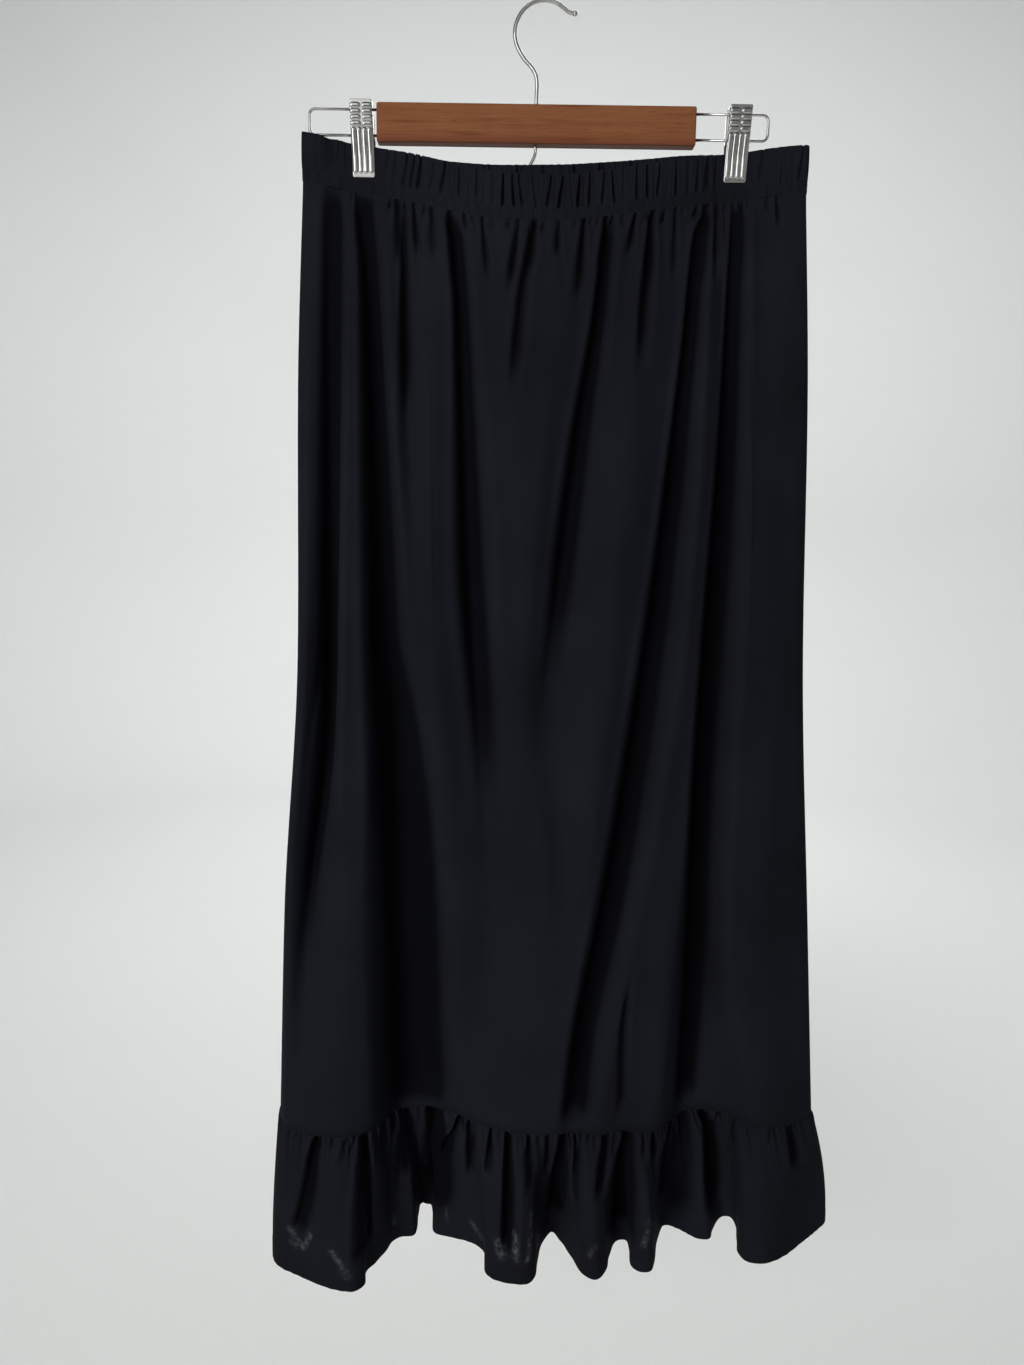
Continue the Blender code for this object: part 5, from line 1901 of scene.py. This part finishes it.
    light_patches: tuple[Stroke, ...] = (
        Stroke((-205, -1011), (-201, -1016), 2.6, 0.50), Stroke((-196, -1020), (-192, -1024), 2.6, 0.60),
        Stroke((-189, -1020), (-185, -1009), 2.2, 0.65), Stroke((-204, -1023), (-199, -1025), 2.0, 0.45),
        Stroke((-165, -1018), (-158, -1026), 2.4, 0.60), Stroke((-155, -1031), (-152, -1037), 3.0, 0.70),
        Stroke((-119, -1028), (-118, -1036), 1.4, 0.50), Stroke((-71, -1027), (-70, -1037), 1.2, 0.35),
        Stroke((-47, -1029), (-43, -1036), 2.2, 0.50), Stroke((-41, -1038), (-37, -1041), 2.0, 0.45),
        Stroke((-21, -1015), (-19, -1027), 3.4, 0.85), Stroke((-7, -1007), (-6, -1029), 2.4, 0.85),
        Stroke((6, -989), (6, -1010), 0.9, 0.60), Stroke((6, -1010), (4, -1030), 1.7, 0.80),
        Stroke((110, -999), (110, -1012), 1.0, 0.50), Stroke((110, -1012), (107, -1026), 1.8, 0.65),
        Stroke((34, -996), (36, -1003), 1.1, 0.40), Stroke((63, -1021), (58, -1031), 2.0, 0.30),
    )

    def gathers_of(self, face: Face) -> list[Crease]:
        """The gathers of one half.

        Args:
            face: Front or back half.

        Returns:
            Creases that begin at the seam.
        """
        seam = (self.seam_z - self.seam_gap) / MM
        if face is Face.FRONT:
            return [*self.main_folds, *(gather.hanging(seam, lead=1.0) for gather in self.gathers)]
        made = [gather.hanging(seam, lead=1.0, closing=0.6) for gather in self.back_gathers]
        return [*self.back_folds, *made]

    def tied(self, seam_line: np.ndarray, hem_line: np.ndarray, fractions: np.ndarray) -> np.ndarray:
        """Finds which places of the front's hem hang below places of its seam.

        Args:
            seam_line: The seam's line.
            hem_line: The hem's line.
            fractions: Shares of the seam's length.

        Returns:
            Shares of the hem's length.
        """
        seam_shares = lengths_along(seam_line) / lengths_along(seam_line)[-1]
        hem_shares = lengths_along(hem_line)[::SPAN_STEPS] / lengths_along(hem_line)[-1]
        seam_ties = np.interp([x * MM for x, _ in self.ties], seam_line[:, 0], seam_shares)
        hem_ties = hem_shares[[row for _, row in self.ties]]
        return np.interp(fractions, [0.0, *seam_ties, 1.0], [0.0, *hem_ties, 1.0])

    def grid(self, face: Face, fractions: np.ndarray, downs: np.ndarray) -> tuple[np.ndarray, np.ndarray]:
        """Works out where the strip hangs.

        Args:
            face: Front or back half.
            fractions: Shares of its width.
            downs: Distances from its seam, in metres.

        Returns:
            Rows of points, and the painted shade of each for its depth in a fold, from 0 to 1.
        """
        seam_line = flowing_curve(self.folds.points(face, 1.0))
        edge = np.array(self.front_hem if face is Face.FRONT else self.back_hem, float) * MM
        edge[[0, -1], 1] += face.value * self.folds.side_gap * MM
        hem_line = flowing_curve(edge)
        tied = self.tied(seam_line, hem_line, fractions) if face is Face.FRONT else fractions
        seam, waves = spread(seam_line, fractions), spread(hem_line, tied)
        drop = np.sqrt(self.length ** 2 - np.sum((waves - seam) ** 2, axis=1))
        along = lengths_along(seam)
        creases = self.gathers_of(face)
        behind = self.grid(Face.BACK, fractions, downs)[0] if face is Face.FRONT else None
        aside = eased(np.minimum(fractions, 1 - fractions) / self.side_ease)
        rows, painted_shades = [], []
        for down in downs.tolist():
            share = down / self.length
            flat = seam + (waves - seam) * (1 - (1 - share) ** self.swing)
            outward = left_normals(flat) * face.value
            z = self.seam_z - self.seam_gap - drop * share
            sink = total_sink(creases, flat[:, 0], z)
            fine = self.gathering.rise(along) * (1 - share) ** self.gathering_end
            fine = fine + self.flutes.rise(along) * (1 - share) ** self.flutes_end
            # Painted shade: the ruffle's colour darkens in the dips of its fine gathers and in its folds.
            dips = self.dip_shade * np.maximum(-fine, 0.0) * eased(down / self.dip_start)
            painted_shades.append(eased((sink + dips) / self.shaded_depth))
            puff = self.puff * eased(down / self.puff_start) * (1 - share) ** 3
            moved = fine + puff + self.rim.rise(along) * share ** self.rim_start
            hem = eased((down - self.length + self.hem_height) / self.hem_ease)
            hem -= sum(bell((self.length - down - up) / self.stitch_width) for up in self.stitch_ups)
            moved = moved * aside * eased(down / self.seam_ease) + self.hem_raised * hem
            flat = flat + outward * moved[:, None]
            flat[:, 1] -= face.value * sink * aside
            if behind is not None:
                back = behind[len(rows)]
                limit = np.interp(flat[:, 0], back[:, 0], back[:, 1]) - self.wall_gap * aside
                flat[:, 1] = np.minimum(flat[:, 1], limit)
            rows.append(np.column_stack([flat, z]))
        return np.stack(rows), np.stack(painted_shades)

    def build(self, face: Face, finishes: Finishes) -> bpy.types.Object:
        """Builds one half of the strip.

        Args:
            face: Front or back half.
            finishes: The materials.

        Returns:
            The half.
        """
        fractions = np.linspace(0.0, 1.0, self.columns.of(face) + 1)
        downs = np.array(self.downs) * MM
        points, hollow = self.grid(face, fractions, downs)
        width = lengths_along(points[-1][:, :2])
        cuts = np.stack([np.column_stack([width, np.full_like(width, down)]) for down in downs])
        sheer = np.zeros(points.shape[:2])
        # Painted light: pale strokes on the front where light shows through the thin jersey.
        if face is Face.FRONT:
            for mark in self.light_patches:
                sheer = np.maximum(sheer, mark.glow(points[:, :, 0], points[:, :, 2]))
        bm = sheet_mesh(points, cuts, hollow, sheer)
        name = face.name.lower()
        strip = ride_root(finished(f"hem_ruffle_{name}", bm, finishes.jersey), "jersey", f"ruffle_{name}")
        thicken(strip, self.thickness)
        return strip


@dataclass
class Stitching:
    """Rows of machine stitches: short plump threads, half sunk in the cloth."""

    pitch: float = 2.9 * MM
    length: float = 2.2 * MM
    radius: float = 0.24 * MM
    batch: int = 30
    sides: int = 6
    rings: int = 4
    waist_ends: Pair = (0.006, 0.994)
    waist_samples: int = 700
    hem_ends: Pair = (0.004, 0.996)
    hem_samples: int = 1300

    def row(self, bm: bmesh.types.BMesh, points: np.ndarray, outward: np.ndarray) -> None:
        """Lays one row.

        Args:
            bm: The bmesh that takes the stitches.
            points: The row's line on the cloth.
            outward: The way out of the cloth at each point.
        """
        along = lengths_along(points)
        count = max(1, int(along[-1] / self.pitch))
        size = Matrix.Diagonal((self.length / 2, self.radius, self.radius, 1.0))
        batch = bmesh.new()
        for i in range(count):
            here = (i + 0.5) * self.pitch
            places = (here - self.length / 2, here, here + self.length / 2)
            spots = np.column_stack([np.interp(places, along, axis) for axis in points.T])
            before, middle, after = (Vector(spot) for spot in spots)
            out = Vector([np.interp(here, along, axis) for axis in outward.T])
            ahead = (after - before).normalized()
            side = ahead.cross(out).normalized()
            turn = Matrix((ahead, side, side.cross(ahead))).transposed().to_4x4()
            bmesh.ops.create_uvsphere(batch, u_segments=self.sides, v_segments=self.rings, radius=1.0,
                                      matrix=Matrix.Translation(middle) @ turn @ size)
            if i % self.batch == self.batch - 1 or i == count - 1:
                held = bpy.data.meshes.new("batch")
                batch.to_mesh(held)
                bm.from_mesh(held)
                bpy.data.meshes.remove(held)
                batch.clear()
        batch.free()

    def waist(self, band: Waistband, face: Face, finishes: Finishes) -> bpy.types.Object:
        """Sews the twin rows along the band's seam.

        Args:
            band: The waistband.
            face: Front or back half.
            finishes: The materials.

        Returns:
            The stitches.
        """
        bm = bmesh.new()
        fractions = np.linspace(*self.waist_ends, self.waist_samples)
        for up in (band.stitch_up, -band.stitch_up):
            points, outward = band.seam_point(face, fractions, up)
            self.row(bm, points, outward)
        made = finished(f"seam_stitches_{face.name}".lower(), bm, finishes.thread)
        return ride_root(made, "jersey")

    def hem(self, ruffle: Ruffle, face: Face, finishes: Finishes) -> bpy.types.Object:
        """Sews the twin rows above the hem.

        Args:
            ruffle: The ruffle.
            face: Front or back half.
            finishes: The materials.

        Returns:
            The stitches.
        """
        bm = bmesh.new()
        fractions = np.linspace(*self.hem_ends, self.hem_samples)
        downs = np.array([ruffle.length - up for up in ruffle.stitch_ups])
        points, _ = ruffle.grid(face, fractions, downs)
        for line in points:
            normals = np.column_stack([left_normals(line[:, :2]) * face.value, np.zeros(len(line))])
            self.row(bm, line + normals * (ruffle.thickness / 2), normals)
        made = finished(f"hem_stitches_{face.name}".lower(), bm, finishes.thread)
        return ride_root(made, "jersey")


# Studio


@dataclass(frozen=True)
class Lamp:
    """Soft lamp, unseen by the camera.

    Attributes:
        name: Its name.
        place: Where it hangs.
        width: Its width.
        height: Its height.
        power: Its power in watts.
        colour: Its light.
        aim: What it shines on.
        beam: How wide it shines, in degrees.
        mirrored: Whether it shows in shiny surfaces.
    """

    name: str
    place: tuple[float, float, float]
    width: float
    height: float
    power: float
    colour: Colour = (1.0, 1.0, 1.0)
    aim: tuple[float, float, float] = (0.0, 0.0, -0.55)
    beam: float = 180.0
    mirrored: bool = True

    def hang(self) -> None:
        """Adds the lamp to the scene."""
        data = bpy.data.lights.new(self.name, "AREA")
        data.shape = "RECTANGLE"
        data.size = self.width
        data.size_y = self.height
        data.energy = self.power
        data.color = self.colour
        data.spread = math.radians(self.beam)
        lamp = bpy.data.objects.new(self.name, data)
        lamp.location = self.place
        lamp.rotation_euler = (Vector(self.aim) - Vector(self.place)).to_track_quat("-Z", "Y").to_euler()
        lamp.visible_camera = False
        lamp.visible_glossy = self.mirrored
        bpy.context.scene.collection.objects.link(lamp)


@dataclass
class Studio:
    """Camera, pale round backdrop and soft lights."""

    lens: float = 27.03
    sensor: float = 36.0
    camera_place: tuple[float, float, float] = (-0.01674, -0.86153, -0.39145)
    pitch: float = 9.14
    roll: float = -0.82
    floor_z: float = -1.45
    floor_radius: float = 3.1
    rise_radius: float = 1.1
    wall_top: float = 2.6
    rise_steps: int = 12
    round_steps: int = 96
    hub: float = 0.001
    farthest: float = 50.0
    sky: Colour = (0.80, 0.84, 0.90)
    sky_strength: float = 0.11
    lamps: tuple[Lamp, ...] = (
        Lamp("key_window", (-1.15, -2.6, 0.35), 1.2, 1.2, 38.0, (1.0, 0.985, 0.965), beam=130.0,
             mirrored=False),
        Lamp("pale_card", (-0.75, -2.5, 0.85), 1.7, 1.7, 7.0, (1.0, 0.98, 0.95)),
        Lamp("tall_strip", (-1.75, -2.4, 0.25), 0.8, 1.9, 20.0, aim=(0.0, 0.0, 0.25)),
        Lamp("back_window", (0.9, 2.6, 1.5), 2.0, 2.0, 34.0),
        Lamp("wall_wash", (0.0, 0.7, 2.4), 2.2, 2.2, 58.0, (0.98, 0.99, 1.0), aim=(0.0, 3.6, -0.6),
             beam=116.0),
    )

    def camera(self) -> None:
        """Sets up the camera at the photograph's angle."""
        cp, sp = math.cos(math.radians(self.pitch)), math.sin(math.radians(self.pitch))
        cr, sr = math.cos(math.radians(self.roll)), math.sin(math.radians(self.roll))
        ahead = Vector((0.0, cp, -sp))
        level = Vector((1.0, 0.0, 0.0))
        below = ahead.cross(level)
        right = cr * level + sr * below
        down = cr * below - sr * level
        data = bpy.data.cameras.new("view")
        data.lens = self.lens
        data.sensor_width = self.sensor
        data.clip_end = self.farthest
        camera = bpy.data.objects.new("view", data)
        turn = Matrix((right, -down, -ahead)).transposed().to_4x4()
        camera.matrix_world = Matrix.Translation(self.camera_place) @ turn
        bpy.context.scene.collection.objects.link(camera)
        bpy.context.scene.camera = camera

    def backdrop(self, finishes: Finishes) -> None:
        """Builds the round floor that rises into a wall.

        Args:
            finishes: The materials.
        """
        outline = [(self.hub, self.floor_z), (self.floor_radius, self.floor_z)]
        for step in range(1, self.rise_steps + 1):
            angle = math.radians(90 * step / self.rise_steps)
            outline.append((self.floor_radius + self.rise_radius * math.sin(angle),
                            self.floor_z + self.rise_radius * (1 - math.cos(angle))))
        outline.append((self.floor_radius + self.rise_radius, self.wall_top))
        bm = bmesh.new()
        verts = [bm.verts.new((radius, 0.0, z)) for radius, z in outline]
        edges = [bm.edges.new(pair) for pair in zip(verts, verts[1:])]
        bmesh.ops.spin(bm, geom=[*verts, *edges], cent=(0, 0, 0), axis=(0, 0, 1), steps=self.round_steps,
                       angle=2 * math.pi, use_merge=True)
        bmesh.ops.remove_doubles(bm, verts=bm.verts, dist=1e-5)
        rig.stage(finished("round_backdrop", bm, finishes.paper, closed=True))

    def light(self) -> None:
        """Sets the sky and hangs the lamps."""
        world = bpy.data.worlds.new("soft_sky")
        world.use_nodes = True
        background = world.node_tree.nodes["Background"]
        background.inputs[0].default_value = (*self.sky, 1.0)
        background.inputs[1].default_value = self.sky_strength
        bpy.context.scene.world = world
        bpy.context.scene.view_settings.view_transform = "Standard"
        for lamp in self.lamps:
            lamp.hang()


def declare_cloth(band: Waistband, body: Body, ruffle: Ruffle, pieces: dict[str, bpy.types.Object]) -> None:
    """Declares each sheet of cloth with the cut of what shows.

    Args:
        band: The waistband.
        body: The body.
        ruffle: The ruffle.
        pieces: The finished pieces by name.
    """
    names = {face: face.name.lower() for face in Face}
    for face, name in names.items():
        flat = (band.cloth.of(face), band.height + band.seam_drop)
        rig.sheet(pieces[f"band_{name}"], flat=flat, held="gathered", with_pieces=[pieces[f"seam_{name}"]])
    for face, name in names.items():
        flat = (body.cloth.of(face), body.cloth_length)
        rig.sheet(pieces[f"body_{name}"], flat=flat, held="hung", area=body.cloth_area.of(face))
    for face, name in names.items():
        flat = (ruffle.cloth.of(face), ruffle.length)
        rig.sheet(pieces[f"ruffle_{name}"], flat=flat, held="gathered", with_pieces=[pieces[f"hem_{name}"]])


def main() -> None:
    """Builds the studio, the hanger and the skirt."""
    logging.basicConfig(level=logging.INFO, format="%(name)s: %(message)s")
    finishes = Finishes()
    studio = Studio()
    studio.camera()
    studio.backdrop(finishes)
    studio.light()

    Bar().dress(finishes)
    Hooks().build(finishes)
    WireFrame(Flank.LEFT, seat_x=-118.5 * MM, end_x=-181.5 * MM).build(finishes)
    WireFrame(Flank.RIGHT, seat_x=110.5 * MM, end_x=177.5 * MM).build(finishes)
    Clip(Flank.LEFT, top_x=-140.3 * MM, jaw_x=-138.8 * MM).build(finishes)
    Clip(Flank.RIGHT, top_x=154.6 * MM, jaw_x=152.6 * MM).build(finishes)

    edge = BandEdge()
    folds = Folds(edge)
    band, body, ruffle, stitching = Waistband(edge), Body(edge, folds), Ruffle(folds), Stitching()
    pieces = {}
    for face in Face:
        name = face.name.lower()
        pieces[f"band_{name}"] = band.build(face, finishes)
        pieces[f"body_{name}"] = body.build(face, finishes)
        pieces[f"ruffle_{name}"] = ruffle.build(face, finishes)
        pieces[f"seam_{name}"] = stitching.waist(band, face, finishes)
        pieces[f"hem_{name}"] = stitching.hem(ruffle, face, finishes)
    declare_cloth(band, body, ruffle, pieces)

    with open(SIZE_FILE, "w") as size_file:
        json.dump({"solids": [list(corner) for corner in CAD_BOX],
                   "dressed": [list(corner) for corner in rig.bounds()]}, size_file)


if __name__ == "__main__":
    main()
